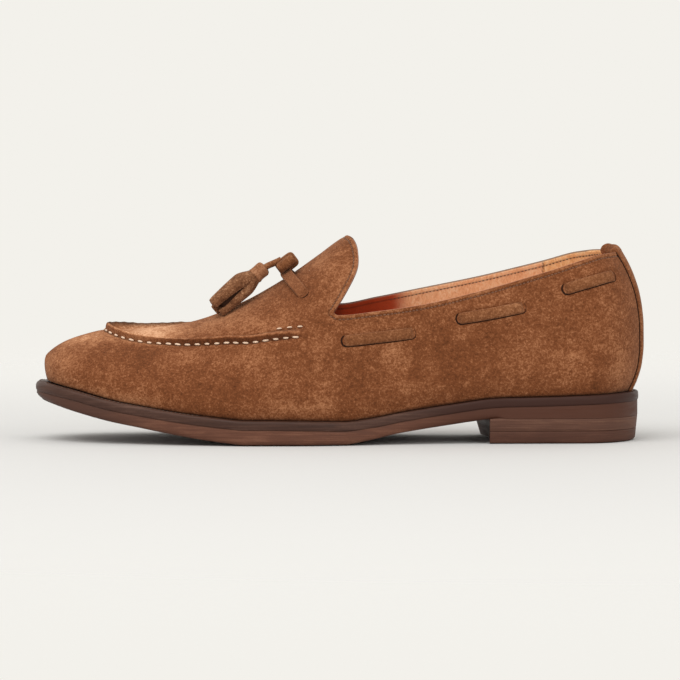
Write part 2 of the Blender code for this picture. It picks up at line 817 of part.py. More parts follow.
def ribbon_on_upper(name, path, width, thickness, end_drop):
    """A flat strip along (at, turn) points of the upper, with rounded ends."""
    spots = [skin_point(at, turn) for at, turn in path]
    normals = [skin_normal(at, turn) for at, turn in path]
    lengths = running_lengths(spots)
    total = lengths[-1]
    under = []
    over = []
    for i, spot in enumerate(spots):
        before = spots[max(i - 1, 0)]
        after = spots[min(i + 1, len(spots) - 1)]
        cross = (after - before).normalized().cross(normals[i]).normalized()
        from_end = min(lengths[i], total - lengths[i])
        near = max(0.0, 1 - from_end / (width / 2))
        half = width / 2 * max(math.sqrt(1 - near * near), 0.45)
        height = thickness * (end_drop + (1 - end_drop) * smooth(from_end / (width * 0.7)))
        low_row = []
        high_row = []
        for share, crown in RIBBON_PROFILE:
            place_across = spot + cross * half * share
            low_row.append(place_across + normals[i] * RIBBON_GAP)
            high_row.append(place_across + normals[i] * (RIBBON_GAP + height * crown))
        under.append(low_row)
        over.append(high_row)
    return patch_mesh(name, under, over)


def make_collar_thong(collection):
    finish = material("thong_suede", SUEDE_DARK, 0.9)
    for side in ("lateral", "medial"):
        for number, (start, end, drop_start, drop_end) in enumerate(THONG, 1):
            path = []
            for i in range(THONG_STEPS + 1):
                t = (1 - math.cos(math.pi * i / THONG_STEPS)) / 2
                at = start + (end - start) * t
                drop = drop_start + (drop_end - drop_start) * t
                height = (collar_curves[side](at) - drop) * TONGUE_HEIGHT
                turn = math.degrees(angle_at_height(at, height))
                path.append((at, turn if side == "lateral" else 180 - turn))
            name = f"collar_thong_{side}_{number}"
            mesh = ribbon_on_upper(name, path, THONG_WIDTH, THONG_THICKNESS, 0.35)
            add_piece(name, mesh, collection, finish)


def heel_point(across, height):
    """Point of the upper's heel at a distance across from the centre line."""
    side = "medial" if across > 0 else "lateral"
    low = HEEL_CURVE_START
    high = 1.0
    for _ in range(24):
        middle = (low + high) / 2
        spot = surface(middle, angle_at_height(middle, height), side)
        if abs(spot.y) > abs(across):
            low = middle
        else:
            high = middle
    spot = surface(high, angle_at_height(high, height), side)
    return Vector((spot.x, across, spot.z))


def make_backstay(collection):
    rim = collar_curves["lateral"](1.0) * TONGUE_HEIGHT
    base = edge_height(1.0) + 3 * CLEARANCE
    step = 0.0008
    near = RIBBON_GAP
    far = near + BACKSTAY_THICKNESS

    def stations(level):
        """Points across the strip at one height, with the way out and the way up."""
        found = []
        for i in range(9):
            across = BACKSTAY_HALF_WIDTH * (i / 4 - 1)
            spot = heel_point(across, level)
            sideways = heel_point(across + step, level) - heel_point(across - step, level)
            upwards = heel_point(across, level + step) - heel_point(across, level - step)
            found.append((spot, sideways.cross(upwards).normalized(), upwards.normalized()))
        return found

    under = []
    over = []
    for i in range(10):
        row = stations(base + (rim - base) * i / 9)
        under.append([spot + normal * near for spot, normal, up in row])
        over.append([spot + normal * far for spot, normal, up in row])
    row = stations(rim)
    for degrees in (40, 90, 140):
        out = math.cos(math.radians(degrees))
        rise = math.sin(math.radians(degrees))
        middle = [spot - normal * WALL / 2 for spot, normal, up in row]
        low_row = []
        high_row = []
        for centre, (spot, normal, up) in zip(middle, row):
            low_row.append(centre + normal * out * (WALL / 2 + near) + up * rise * near * 1.5)
            top = far + BACKSTAY_TOP_ROLL
            high_row.append(centre + normal * out * (WALL / 2 + far) + up * rise * top)
        under.append(low_row)
        over.append(high_row)
    for depth in (0.0, 0.5, 1.0):
        row = stations(rim - BACKSTAY_FOLD * depth)
        under.append([spot - normal * (WALL + near) for spot, normal, up in row])
        over.append([spot - normal * (WALL + far) for spot, normal, up in row])
    mesh = patch_mesh("backstay", under, over)
    add_piece("backstay", mesh, collection, material("backstay_suede", SUEDE_DARK, 0.9))


def make_front_strap(collection):
    path = []
    for i in range(STRAP_STEPS + 1):
        t = -math.cos(math.pi * i / STRAP_STEPS)
        path.append((STRAP_AT + STRAP_BOW * t * t, 90 + STRAP_SPREAD * t))
    mesh = ribbon_on_upper("front_strap", path, STRAP_WIDTH, STRAP_THICKNESS, 0.4)
    add_piece("front_strap", mesh, collection, material("strap_suede", SUEDE_DARK, 0.9))


def outline_prism(name, outlines, depth):
    """Extrude closed outlines, the first the outside and the rest holes, along Z."""
    curve = bpy.data.curves.new(name, "CURVE")
    curve.dimensions = "2D"
    curve.fill_mode = "BOTH"
    curve.extrude = depth / 2
    for outline in outlines:
        spline = curve.splines.new("POLY")
        spline.points.add(len(outline) - 1)
        for point, (x, y) in zip(spline.points, outline):
            point.co = (x, y, 0.0, 1.0)
        spline.use_cyclic_u = True
    holder = bpy.data.objects.new(name, curve)
    bpy.context.scene.collection.objects.link(holder)
    graph = bpy.context.evaluated_depsgraph_get()
    mesh = bpy.data.meshes.new_from_object(holder.evaluated_get(graph))
    bpy.data.objects.remove(holder, do_unlink=True)
    bm = bmesh.new()
    bm.from_mesh(mesh)
    bmesh.ops.remove_doubles(bm, verts=bm.verts[:], dist=0.00001)
    bmesh.ops.recalc_face_normals(bm, faces=bm.faces[:])
    bm.to_mesh(mesh)
    bm.free()
    return mesh


def loop_height(share):
    """Half height of the bow's outline from its middle, 0, to a loop's end, 1."""
    knot = (KNOT_WIDTH / 2 + CLEARANCE) / BOW_REACH
    pinch = BOW_PINCH + (1 - BOW_PINCH) * smooth((share - knot) / 0.35)
    end = math.sqrt(max(0.0, 1 - max(0.0, (share - 0.72) / 0.28) ** 2))
    return BOW_HEIGHT / 2 * pinch * end


def bow_centre():
    """Middle of the bow, seated on the strap where it crosses the centre line."""
    seat = skin_point(STRAP_AT, 90)
    normal = Vector((-math.sin(math.radians(BOW_SLOPE)), 0, math.cos(math.radians(BOW_SLOPE))))
    knot_half = BOW_HEIGHT / 2 * BOW_PINCH + CLEARANCE + KNOT_WALL
    lift = SEAT_GAP + STRAP_THICKNESS + max(knot_half, BOW_HEIGHT / 2)
    up_slope = Vector((normal.z, 0, -normal.x))
    return seat + normal * lift + up_slope * BOW_SHIFT


def make_bow(collection):
    finish = material("bow_suede", SUEDE, 0.9)
    shares = [-1 + i / 12 for i in range(25)]
    top = [(BOW_REACH * t, loop_height(abs(t))) for t in shares]
    bottom = [(x, -y) for x, y in reversed(top)][1:-1]
    outlines = [top + bottom]
    for sign in (-1, 1):
        upper_side = []
        for i in range(9):
            t = 0.36 + 0.50 * i / 8
            ease = math.sqrt(max(0.0, 1 - (i / 4 - 1) ** 2))
            gap = max(loop_height(t) - BOW_WALL, 0.0) * ease
            upper_side.append((sign * BOW_REACH * t, gap))
        lower_side = [(x, -y) for x, y in reversed(upper_side)][1:-1]
        outlines.append(upper_side + lower_side)
    loops = outline_prism("bow_loops", outlines, BOW_DEPTH)
    piece = add_piece("bow_loops", loops, collection, finish)
    slope = math.radians(BOW_SLOPE)
    normal = Vector((-math.sin(slope), 0, math.cos(slope)))
    up_slope = Vector((math.cos(slope), 0, math.sin(slope)))
    piece.rotation_euler = Matrix((Vector((0, 1, 0)), normal, up_slope)).transposed().to_euler()
    piece.location = bow_centre()

    half_depth = BOW_DEPTH / 2 + CLEARANCE
    half_height = BOW_HEIGHT / 2 * BOW_PINCH + CLEARANCE
    outlines = []
    for extra in (KNOT_WALL, 0.0):
        outline = []
        for i in range(24):
            angle = 2 * math.pi * i / 24
            c, d = math.cos(angle), math.sin(angle)
            x = math.copysign(abs(c) ** 0.2, c) * (half_depth + extra)
            y = math.copysign(abs(d) ** 0.2, d) * (half_height + extra)
            outline.append((x, y))
        outlines.append(outline)
    knot = outline_prism("bow_knot", outlines, KNOT_WIDTH)
    piece = add_piece("bow_knot", knot, collection, finish)
    piece.rotation_euler = Matrix((up_slope, normal, Vector((0, -1, 0)))).transposed().to_euler()
    piece.location = bow_centre()


def vamp_height(x, across, side):
    """Height of the upper's outside above a point of the plan, forward of the throat."""
    at = 1 - (HEEL_BACK - x) / LAST_LENGTH
    share = min(abs(across) / half_width(at, side), 1.0)
    return surface(at, math.acos(share), side).z


def tassel_axes(sign):
    """The tassel's axis, the way across it and the way out of its face."""
    slope = math.radians(TASSEL_SLOPE)
    splay = math.radians(TASSEL_SPLAY) * sign
    level = Vector((-math.cos(splay), math.sin(splay), 0.0))
    along = level * math.cos(slope) + Vector((0, 0, -math.sin(slope)))
    across = Vector((0, 0, 1)).cross(level).normalized()
    outward = along.cross(across)
    if outward.z < 0:
        outward = -outward
    return along, across, outward


def tassel_rings(sign):
    """Sections of a tassel from its top down, with the top at (x, y, 0)."""
    along, across, outward = tassel_axes(sign)
    top = Vector((bow_centre().x - TASSEL_AHEAD, TASSEL_APART * sign, 0.0))
    around = STRIP_STEPS * FRINGE_STRIPS
    rings = []
    for share, radius in HEAD:
        ring = []
        for i in range(around):
            angle = 2 * math.pi * i / around
            offset = across * math.cos(angle) + outward * math.sin(angle)
            ring.append(top + along * HEAD_LENGTH * share + offset * HEAD_RADIUS * radius)
        rings.append(ring)
    for k in range(1, FRINGE_STEPS + 1):
        t = k / FRINGE_STEPS
        open_share = smooth(t * 1.8)
        bulge = FRINGE_BULGE * math.sin(math.pi * t)
        width = HEAD_RADIUS + (FRINGE_HALF_WIDTH - HEAD_RADIUS) * open_share + bulge
        depth = HEAD_RADIUS + (FRINGE_HALF_DEPTH - HEAD_RADIUS) * open_share + bulge
        ring = []
        for i in range(around):
            angle = 2 * math.pi * i / around
            phase = i / STRIP_STEPS % 1.0
            slit = (1 - math.sin(math.pi * phase)) ** 3
            groove = 1 - FRINGE_GROOVE * smooth(t * 2.5) * slit
            rest = 1 if math.sin(angle) > 0 else 1 - (1 - FRINGE_UNDERSIDE) * open_share
            offset = across * math.cos(angle) * width + outward * math.sin(angle) * depth * rest
            ring.append(top + along * (HEAD_LENGTH + FRINGE_LENGTH * t) + offset * groove)
        rings.append(ring)
    return rings, top


def seat_height(sign):
    """How far up a tassel has to go to rest on the vamp."""
    side = "medial" if sign > 0 else "lateral"
    rings, _ = tassel_rings(sign)
    gaps = [vamp_height(p.x, p.y, side) - p.z for ring in rings for p in ring]
    return max(gaps) + SEAT_GAP


def make_tassel(name, sign, collection, finish):
    rings, top = tassel_rings(sign)
    along = tassel_axes(sign)[0]
    lift = Vector((0, 0, seat_height(sign)))
    mesh = bpy.data.meshes.new(name)
    bm = bmesh.new()
    verts = [[bm.verts.new(p + lift) for p in ring] for ring in rings]
    around = len(rings[0])
    for low, high in zip(verts, verts[1:]):
        for i in range(around):
            j = (i + 1) % around
            bm.faces.new((low[i], low[j], high[j], high[i]))
    for ring, distance in ((verts[0], 0.0), (verts[-1], HEAD_LENGTH + FRINGE_LENGTH)):
        tip = bm.verts.new(top + lift + along * distance)
        for i in range(around):
            bm.faces.new((ring[i], ring[(i + 1) % around], tip))
    bmesh.ops.recalc_face_normals(bm, faces=bm.faces[:])
    bm.to_mesh(mesh)
    bm.free()
    add_piece(name, mesh, collection, finish)


def make_thong_end(name, sign, collection, finish):
    """Cord from the knot's front face to the top of a tassel."""
    along = tassel_axes(sign)[0]
    top = tassel_rings(sign)[1] + Vector((0, 0, seat_height(sign)))
    slope = math.radians(BOW_SLOPE)
    down = Vector((-math.cos(slope), 0, -math.sin(slope)))
    normal = Vector((-math.sin(slope), 0, math.cos(slope)))
    face = BOW_DEPTH / 2 + KNOT_WALL + 2 * CLEARANCE + END_DIAMETER * 0.15
    start = bow_centre() + down * face + normal * BOW_HEIGHT * 0.36
    start.y = sign * (END_DIAMETER / 2 + CLEARANCE)
    finish_point = top - along * SEAT_GAP
    points = []
    steps = 10
    reach = (finish_point - start).length * 0.4
    for i in range(steps + 1):
        t = i / steps
        first = start + Vector((-1, 0, -0.35)) * reach
        second = finish_point - along * reach
        point = start * (1 - t) ** 3 + first * 3 * t * (1 - t) ** 2
        point += second * 3 * t * t * (1 - t) + finish_point * t ** 3
        points.append(point)
    curve = bpy.data.curves.new(name, "CURVE")
    curve.dimensions = "3D"
    curve.bevel_depth = END_DIAMETER / 2
    curve.bevel_resolution = 2
    curve.use_fill_caps = True
    spline = curve.splines.new("POLY")
    spline.points.add(len(points) - 1)
    for point, place_at in zip(spline.points, points):
        point.co = (*place_at, 1.0)
    curve.materials.append(finish)
    piece = bpy.data.objects.new(name, curve)
    collection.objects.link(piece)


def make_tassels(collection):
    finish = material("tassel_suede", SUEDE, 0.9)
    for side, sign in (("lateral", -1), ("medial", 1)):
        make_tassel(f"tassel_{side}", sign, collection, finish)
        make_thong_end(f"thong_end_{side}", sign, collection, finish)


bpy.ops.object.select_all(action="DESELECT")
for old in list(bpy.data.objects):
    bpy.data.objects.remove(old, do_unlink=True)
shoe = bpy.data.collections.new("tassel_loafer")
bpy.context.scene.collection.children.link(shoe)
make_upper(shoe)
make_sole(shoe)
make_heel(shoe)
make_insole(shoe)
make_backstay(shoe)
make_collar_thong(shoe)
make_front_strap(shoe)
make_bow(shoe)
make_tassels(shoe)
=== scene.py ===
"""Looks of the tassel loafer: suede, leather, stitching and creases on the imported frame.

Metres, +Z up, the toe along -X, the lateral side towards -Y. Shapes follow the same
tables as the part, at a finer step, and every piece rides on the one body.
"""
import math

import bpy
import numpy as np
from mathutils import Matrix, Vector, kdtree


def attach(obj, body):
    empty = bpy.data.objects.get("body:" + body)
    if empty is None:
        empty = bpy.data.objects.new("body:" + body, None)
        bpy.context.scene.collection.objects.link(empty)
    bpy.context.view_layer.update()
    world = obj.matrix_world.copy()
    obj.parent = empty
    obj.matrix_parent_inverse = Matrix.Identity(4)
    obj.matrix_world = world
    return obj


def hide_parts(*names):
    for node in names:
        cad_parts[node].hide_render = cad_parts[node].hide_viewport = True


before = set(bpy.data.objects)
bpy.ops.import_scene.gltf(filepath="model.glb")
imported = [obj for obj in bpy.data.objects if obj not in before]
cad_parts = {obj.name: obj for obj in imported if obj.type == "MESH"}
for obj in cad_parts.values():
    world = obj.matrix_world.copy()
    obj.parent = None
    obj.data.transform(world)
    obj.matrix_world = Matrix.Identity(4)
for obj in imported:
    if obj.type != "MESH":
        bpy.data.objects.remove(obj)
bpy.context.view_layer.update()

# Driving dimensions of the last and the upper
LAST_LENGTH = 0.2960
HEEL_BACK = 0.0396          # the heel's rearmost point, behind the origin
BALL_WIDTH = 0.100          # across the upper's widest point
TONGUE_HEIGHT = 0.100       # floor to the tip of the tongue
WALL = 0.0021
TUCK_HEIGHT = 0.014         # how far up the wall leans in towards the welt
CLEARANCE = 0.0003
SEAT_GAP = 0.0009           # under the bow and the tassels

# Sole, heel and insole
WELT_THICKNESS = 0.0045
OUTSOLE_THICKNESS = 0.0067
HEEL_LIFT_HEIGHT = 0.0064
TOP_PIECE_HEIGHT = 0.0058
SEAT = HEEL_LIFT_HEIGHT + TOP_PIECE_HEIGHT
TOE_SPRING = 0.0200         # floor to the tread's tip at the toe
EDGE_STEP = 0.0004          # the outsole's edge stands in under the welt's
HEEL_TAPER = 0.0012         # how much narrower the heel is at the floor, all round
HEEL_EDGE_ROUND = 0.0016
BREAST_HOLLOW = 0.0030      # depth of the heel's concave front face
INSOLE_THICKNESS = 0.0028
BREAST_LATERAL = -0.0362    # where the heel's front face meets each side
BREAST_MEDIAL = -0.0425

# Backstay, a strip up the back of the heel that folds over the collar
BACKSTAY_HALF_WIDTH = 0.0092
BACKSTAY_THICKNESS = 0.0012
BACKSTAY_FOLD = 0.0100      # how far it reaches down inside
BACKSTAY_TOP_ROLL = 0.0010  # how far the fold stands up above the rim

# Thong laced round the collar
THONG_WIDTH = 0.0056
THONG_THICKNESS = 0.0016

# Strap over the vamp, and the bow on it
STRAP_WIDTH = 0.0060
STRAP_THICKNESS = 0.0015
STRAP_AT = 0.4105           # its middle, as a share of LAST_LENGTH
STRAP_BOW = 0.0290          # how much further back its ends lie, as a share
STRAP_SPREAD = 34.0         # degrees from its middle to each end, round the vamp
BOW_SLOPE = 37.0            # degrees, the vamp's slope under the bow
BOW_DEPTH = 0.0084          # width of the ribbon, up the slope
BOW_HEIGHT = 0.0053
BOW_REACH = 0.0125          # from the middle to the end of each loop
BOW_WALL = 0.0015
BOW_PINCH = 0.62            # how far the knot presses the loops together
BOW_SHIFT = 0.0032          # how far up the slope from the strap's middle it sits
KNOT_WIDTH = 0.0062
KNOT_WALL = 0.0014

# Thong ends and tassels
END_DIAMETER = 0.0026
HEAD_RADIUS = 0.0036
HEAD_LENGTH = 0.0068
FRINGE_LENGTH = 0.0245
FRINGE_HALF_WIDTH = 0.0056  # across, at the fringe's end
FRINGE_HALF_DEPTH = 0.0056  # out of the vamp, at the fringe's end
FRINGE_BULGE = 0.0007       # how much fuller it is half way down
FRINGE_UNDERSIDE = 0.58     # how much of that depth is left where it rests
FRINGE_STRIPS = 5
TASSEL_SLOPE = 40.0         # degrees down from level
TASSEL_SPLAY = 15.0         # degrees outwards in plan
TASSEL_AHEAD = 0.0106       # from the bow's middle forward to a tassel's top
TASSEL_APART = 0.0070       # from the centre line out to a tassel's top

# Sections of the last, from toe to heel. "at" is a share of LAST_LENGTH, the half
# widths, the lean of the wall and the welt's reach are shares of BALL_WIDTH, sole
# is a share of outsole and welt together, and roundness shapes the section (2 is
# an ellipse).
SECTION_COLUMNS = ("at", "lateral", "medial", "sole", "tuck", "reach", "roundness")
SECTIONS = (
    (0.00, 0.330, 0.320, 0.830, 0.022, 0.056, 1.60),
    (0.07, 0.340, 0.335, 0.965, 0.022, 0.055, 1.60),
    (0.13, 0.375, 0.365, 0.955, 0.022, 0.052, 1.65),
    (0.20, 0.437, 0.412, 0.990, 0.023, 0.050, 1.75),
    (0.28, 0.482, 0.447, 1.060, 0.024, 0.050, 1.85),
    (0.36, 0.510, 0.452, 1.100, 0.024, 0.048, 1.80),
    (0.43, 0.510, 0.432, 1.080, 0.024, 0.044, 1.72),
    (0.51, 0.482, 0.388, 1.030, 0.026, 0.036, 1.72),
    (0.59, 0.437, 0.350, 0.930, 0.032, 0.028, 1.76),
    (0.67, 0.400, 0.335, 0.930, 0.036, 0.026, 1.80),
    (0.75, 0.378, 0.335, 0.930, 0.030, 0.026, 1.80),
    (0.83, 0.362, 0.338, 0.960, 0.026, 0.025, 1.82),
    (0.92, 0.345, 0.325, 1.030, 0.024, 0.028, 1.85),
    (1.00, 0.320, 0.305, 1.100, 0.024, 0.042, 1.85),
)

# Centre line of the instep: share of LAST_LENGTH, share of TONGUE_HEIGHT. Behind
# the tongue it only closes the section above the open collar.
CREST = (
    (0.000, 0.290),
    (0.005, 0.412),
    (0.012, 0.434),
    (0.025, 0.463),
    (0.038, 0.484),
    (0.065, 0.513),
    (0.105, 0.541),
    (0.150, 0.553),
    (0.200, 0.566),
    (0.250, 0.586),
    (0.280, 0.608),
    (0.320, 0.658),
    (0.345, 0.692),
    (0.386, 0.760),
    (0.421, 0.826),
    (0.461, 0.910),
    (0.503, 0.998),
    (0.561, 1.065),
    (0.627, 1.110),
    (0.727, 1.150),
    (0.860, 1.200),
    (1.000, 1.220),
)

# Lower side of the tread: share of LAST_LENGTH, share of TOE_SPRING in front of
# the flat and of the heel's height behind it.
SPRING = (
    (0.000, 1.000),
    (0.065, 0.728),
    (0.118, 0.535),
    (0.172, 0.385),
    (0.225, 0.240),
    (0.265, 0.140),
    (0.305, 0.060),
    (0.345, 0.000),
    (1.000, 0.000),
)
ARCH = (
    (0.000, 0.000),
    (0.500, 0.000),
    (0.545, 0.163),
    (0.595, 0.425),
    (0.640, 0.600),
    (0.680, 0.745),
    (0.715, 0.872),
    (0.745, 0.965),
    (0.775, 1.000),
    (1.000, 1.000),
)

# Apron seam, carried on to the heel as a line half way up the quarter: share of
# LAST_LENGTH, degrees round the section from the lower edge. In front the far
# side's seam lies nearer the crest, so that its fold makes the outline.
APRON_TOE = 0.104
APRON = (
    (0.00, 48.0),
    (0.26, 47.5),
    (0.345, 42.3),
    (0.42, 38.0),
    (0.49, 31.0),
    (0.63, 23.3),
    (0.76, 20.6),
    (0.86, 21.0),
    (1.00, 21.2),
)
FAR_APRON = (
    (0.00, 68.0),
    (0.19, 67.0),
    (0.25, 60.5),
    (0.30, 53.5),
    (0.345, 48.0),
    (0.42, 41.0),
    (0.49, 32.5),
    (0.63, 23.3),
    (0.76, 20.6),
    (0.86, 21.0),
    (1.00, 21.2),
)
APRON_END = 0.425
APRON_FADE = 0.050

# Free edge of the tongue, from its tip down to the throat: share of LAST_LENGTH,
# share of TONGUE_HEIGHT.
TONGUE_EDGE = (
    (0.5090, 1.006),
    (0.5175, 0.990),
    (0.5242, 0.945),
    (0.5258, 0.880),
    (0.5200, 0.820),
    (0.5042, 0.730),
    (0.4908, 0.665),
    (0.4850, 0.640),
)

# Top line of the collar, from the throat to the heel.
COLLAR_COLUMNS = ("at", "lateral", "medial")
COLLAR = (
    (0.485, 0.640, 0.665),
    (0.494, 0.627, 0.655),
    (0.560, 0.646, 0.690),
    (0.630, 0.675, 0.732),
    (0.732, 0.744, 0.794),
    (0.834, 0.829, 0.866),
    (0.920, 0.893, 0.918),
    (0.970, 0.920, 0.930),
    (1.000, 0.925, 0.925),
)

# Lengths of the thong that show between its slots: start and end as shares of
# LAST_LENGTH, and how far below the top line each end lies, as shares of
# TONGUE_HEIGHT.
THONG = (
    (0.500, 0.621, 0.122, 0.127),
    (0.689, 0.803, 0.105, 0.136),
    (0.867, 0.969, 0.108, 0.104),
)

# Back of the heel: share of TONGUE_HEIGHT, and how far in from the rearmost point
# as a share of BALL_WIDTH.
HEEL_CURVE = (
    (0.245, 0.055),
    (0.300, 0.030),
    (0.380, 0.008),
    (0.470, 0.000),
    (0.570, 0.001),
    (0.640, 0.007),
    (0.720, 0.021),
    (0.800, 0.046),
    (0.860, 0.072),
    (0.925, 0.108),
)

HEEL_CURVE_START = 0.80     # share of LAST_LENGTH where that curve begins to act
TOE_ROUND = 0.135           # share of LAST_LENGTH in which the toe closes
HEEL_ROUND = 0.090
TOE_BLEND = 0.37            # behind this share the contours no longer follow the toe

SIDES = ("lateral", "medial")
CREST_ANGLE = math.pi / 2
BODY = "root"
RNG = np.random.default_rng(11)


def curve(rows, column, power=1.0):
    """Smooth curve through a table's first column and another one, never overshooting."""
    table = np.array(rows, dtype=float)
    xs = table[:, 0] ** power
    ys = table[:, column]
    steps = np.diff(xs)
    slopes = np.diff(ys) / steps
    tangents = np.zeros(len(xs))
    tangents[0] = slopes[0]
    tangents[-1] = slopes[-1]
    for i in range(1, len(slopes)):
        if slopes[i - 1] * slopes[i] > 0:
            before = 2 * steps[i] + steps[i - 1]
            after = steps[i] + 2 * steps[i - 1]
            tangents[i] = (before + after) / (before / slopes[i - 1] + after / slopes[i])

    def value(x):
        x = np.clip(np.asarray(x, dtype=float), table[0, 0], table[-1, 0]) ** power
        i = np.clip(np.searchsorted(xs, x, side="right") - 1, 0, len(steps) - 1)
        t = (x - xs[i]) / steps[i]
        start = ys[i] * (1 + 2 * t) * (1 - t) ** 2
        start_slope = tangents[i] * steps[i] * t * (1 - t) ** 2
        end = ys[i + 1] * t * t * (3 - 2 * t)
        end_slope = tangents[i + 1] * steps[i] * t * t * (t - 1)
        return start + start_slope + end + end_slope

    return value


def curves(columns, rows):
    """A curve for each named column but the first."""
    return {name: curve(rows, i) for i, name in enumerate(columns) if i > 0}


section_curves = curves(SECTION_COLUMNS, SECTIONS)
crest_curve = curve(CREST, 1, power=0.4)
spring_curve = curve(SPRING, 1)
arch_curve = curve(ARCH, 1)
apron_curves = {"lateral": curve(APRON, 1), "medial": curve(FAR_APRON, 1)}
collar_curves = curves(COLLAR_COLUMNS, COLLAR)
heel_curve = curve(HEEL_CURVE, 1)


def smooth(t):
    """Ease from 0 to 1."""
    t = np.clip(t, 0.0, 1.0)
    return t * t * (3 - 2 * t)


def bump(t):
    """A soft hump: 1 at 0, gone at 1 and beyond."""
    t = np.clip(np.abs(t), 0.0, 1.0)
    return (1 - t * t) ** 2


def stripe(off, middle, reach):
    """1 where off is the middle, gone at this reach to both sides of it."""
    return bump((off - middle) / reach)


def unit(vectors):
    """The same directions, each of length 1."""
    return vectors / np.maximum(np.linalg.norm(vectors, axis=-1, keepdims=True), 1e-12)


def place(at):
    """X of a share of the last's length."""
    return HEEL_BACK - LAST_LENGTH * (1 - at)


def share_at(x):
    """Share of the last's length at an x."""
    return 1 - (HEEL_BACK - x) / LAST_LENGTH


def tread_height(at):
    """Lower side of the tread above the floor."""
    return spring_curve(at) * TOE_SPRING + arch_curve(at) * SEAT


def edge_height(at):
    """Lower edge of the upper above the floor."""
    thickness = section_curves["sole"](at) * (OUTSOLE_THICKNESS + WELT_THICKNESS)
    return tread_height(at) + thickness


def half_width(at, side):
    """Half width of the last, with its rounded toe and heel."""
    toe = 1 - np.minimum(at / TOE_ROUND, 1.0)
    heel = 1 - np.minimum((1 - at) / HEEL_ROUND, 1.0)
    rounding = np.sqrt(np.maximum(0.0, 1 - toe * toe)) * np.sqrt(np.maximum(0.0, 1 - heel * heel))
    return section_curves[side](at) * BALL_WIDTH * rounding


def outline_normal(at, side):
    """Outward direction in plan of the widest outline: along +X, and away from the axis."""
    at = np.asarray(at, dtype=float)
    step = 0.0005
    low = np.maximum(at - step, 0.0)
    high = np.minimum(at + step, 1.0)
    slope = (half_width(high, side) - half_width(low, side)) / ((high - low) * LAST_LENGTH)
    size = np.hypot(slope, 1.0)
    along = np.where(low == 0.0, -1.0, np.where(high == 1.0, 1.0, -slope / size))
    away = np.where((low == 0.0) | (high == 1.0), 0.0, 1.0 / size)
    return along, away


def surface(at, angle, side):
    """Outer surface of the closed last: angle 0 is the lower edge, 90 degrees the crest."""
    at = np.asarray(at, dtype=float)
    angle = np.asarray(angle, dtype=float)
    low = edge_height(at)
    rise = crest_curve(at) * TONGUE_HEIGHT - low
    power = 2 / section_curves["roundness"](at)
    z = low + rise * np.maximum(np.sin(angle), 0.0) ** power
    across = half_width(at, side) * np.cos(angle)
    lean = (1 - np.minimum((z - low) / TUCK_HEIGHT, 1.0)) ** 2
    inward = section_curves["tuck"](at) * BALL_WIDTH * lean
    along, away = outline_normal(at, side)
    x = place(at) - along * inward
    across = np.maximum(across - away * inward, 0.0)
    inset = heel_curve(z / TONGUE_HEIGHT) * BALL_WIDTH
    back = smooth((at - HEEL_CURVE_START) / (1 - HEEL_CURVE_START))
    x = x - np.maximum(inset - inward, 0.0) * back
    return np.stack([x, -across if side == "lateral" else across, z], axis=-1)


def angle_at_height(at, height):
    """Angle round the section at which the last reaches a height."""
    low = edge_height(at)
    rise = crest_curve(at) * TONGUE_HEIGHT - low
    share = np.clip((height - low) / rise, 0.0, 1.0)
    return np.arcsin(share ** (section_curves["roundness"](at) / 2))


def running(places):
    """Distance run along a line of points."""
    gaps = np.linalg.norm(np.diff(places, axis=0), axis=1)
    return np.concatenate([[0.0], np.cumsum(gaps)])


def pick(values, lengths, goals):
    """Values of the columns where the running length reaches each goal."""
    return np.stack([np.interp(goals, lengths, values[:, c]) for c in range(values.shape[1])], axis=1)


# Steps of each side's grid from the toe to the throat and on to the heel
FRONT_STEPS = 190
BACK_STEPS = 214
SAMPLES = 1600
THROAT = TONGUE_EDGE[-1][0]


def goals_of(lengths, split):
    """Even distances from the start to the split, and from there to the end."""
    front = np.linspace(0.0, lengths[split], FRONT_STEPS + 1)
    back = np.linspace(lengths[split], lengths[-1], BACK_STEPS + 1)[1:]
    return np.concatenate([front, back])


def toe_stations(levels):
    """Shares of the length where the contours cross the toe's centre line."""
    samples = APRON_TOE * np.linspace(0, 1, SAMPLES + 1) ** 4
    lengths = running(surface(samples, CREST_ANGLE, "lateral"))
    return np.interp(np.asarray(levels) * lengths[-1], lengths, samples)


def lower_contour(level, toe, side):
    """(at, angle) along one line around the side; level 0 is the lower edge, 1 the apron seam."""
    t = np.linspace(0, 1, SAMPLES + 1)
    at = toe + (1 - toe) * (1 - np.cos(math.pi * t)) / 2
    source = np.where(at < TOE_BLEND, (at - toe) * TOE_BLEND / (TOE_BLEND - toe), at)
    angle = np.radians(apron_curves[side](at)) * level
    width = half_width(at, side)
    across = half_width(source, side) * np.cos(angle)
    follow = (width > 0) & (at < TOE_BLEND)
    share = np.divide(across, width, out=np.ones_like(across), where=width > 0)
    angle = np.where(follow, np.arccos(np.minimum(share, 1.0)), angle)
    if level > 0:
        angle[0] = CREST_ANGLE
    line = np.stack([at, angle], axis=1)
    lengths = running(surface(at, angle, side))
    split = int(np.searchsorted(at, THROAT))
    return pick(line, lengths, goals_of(lengths, split))


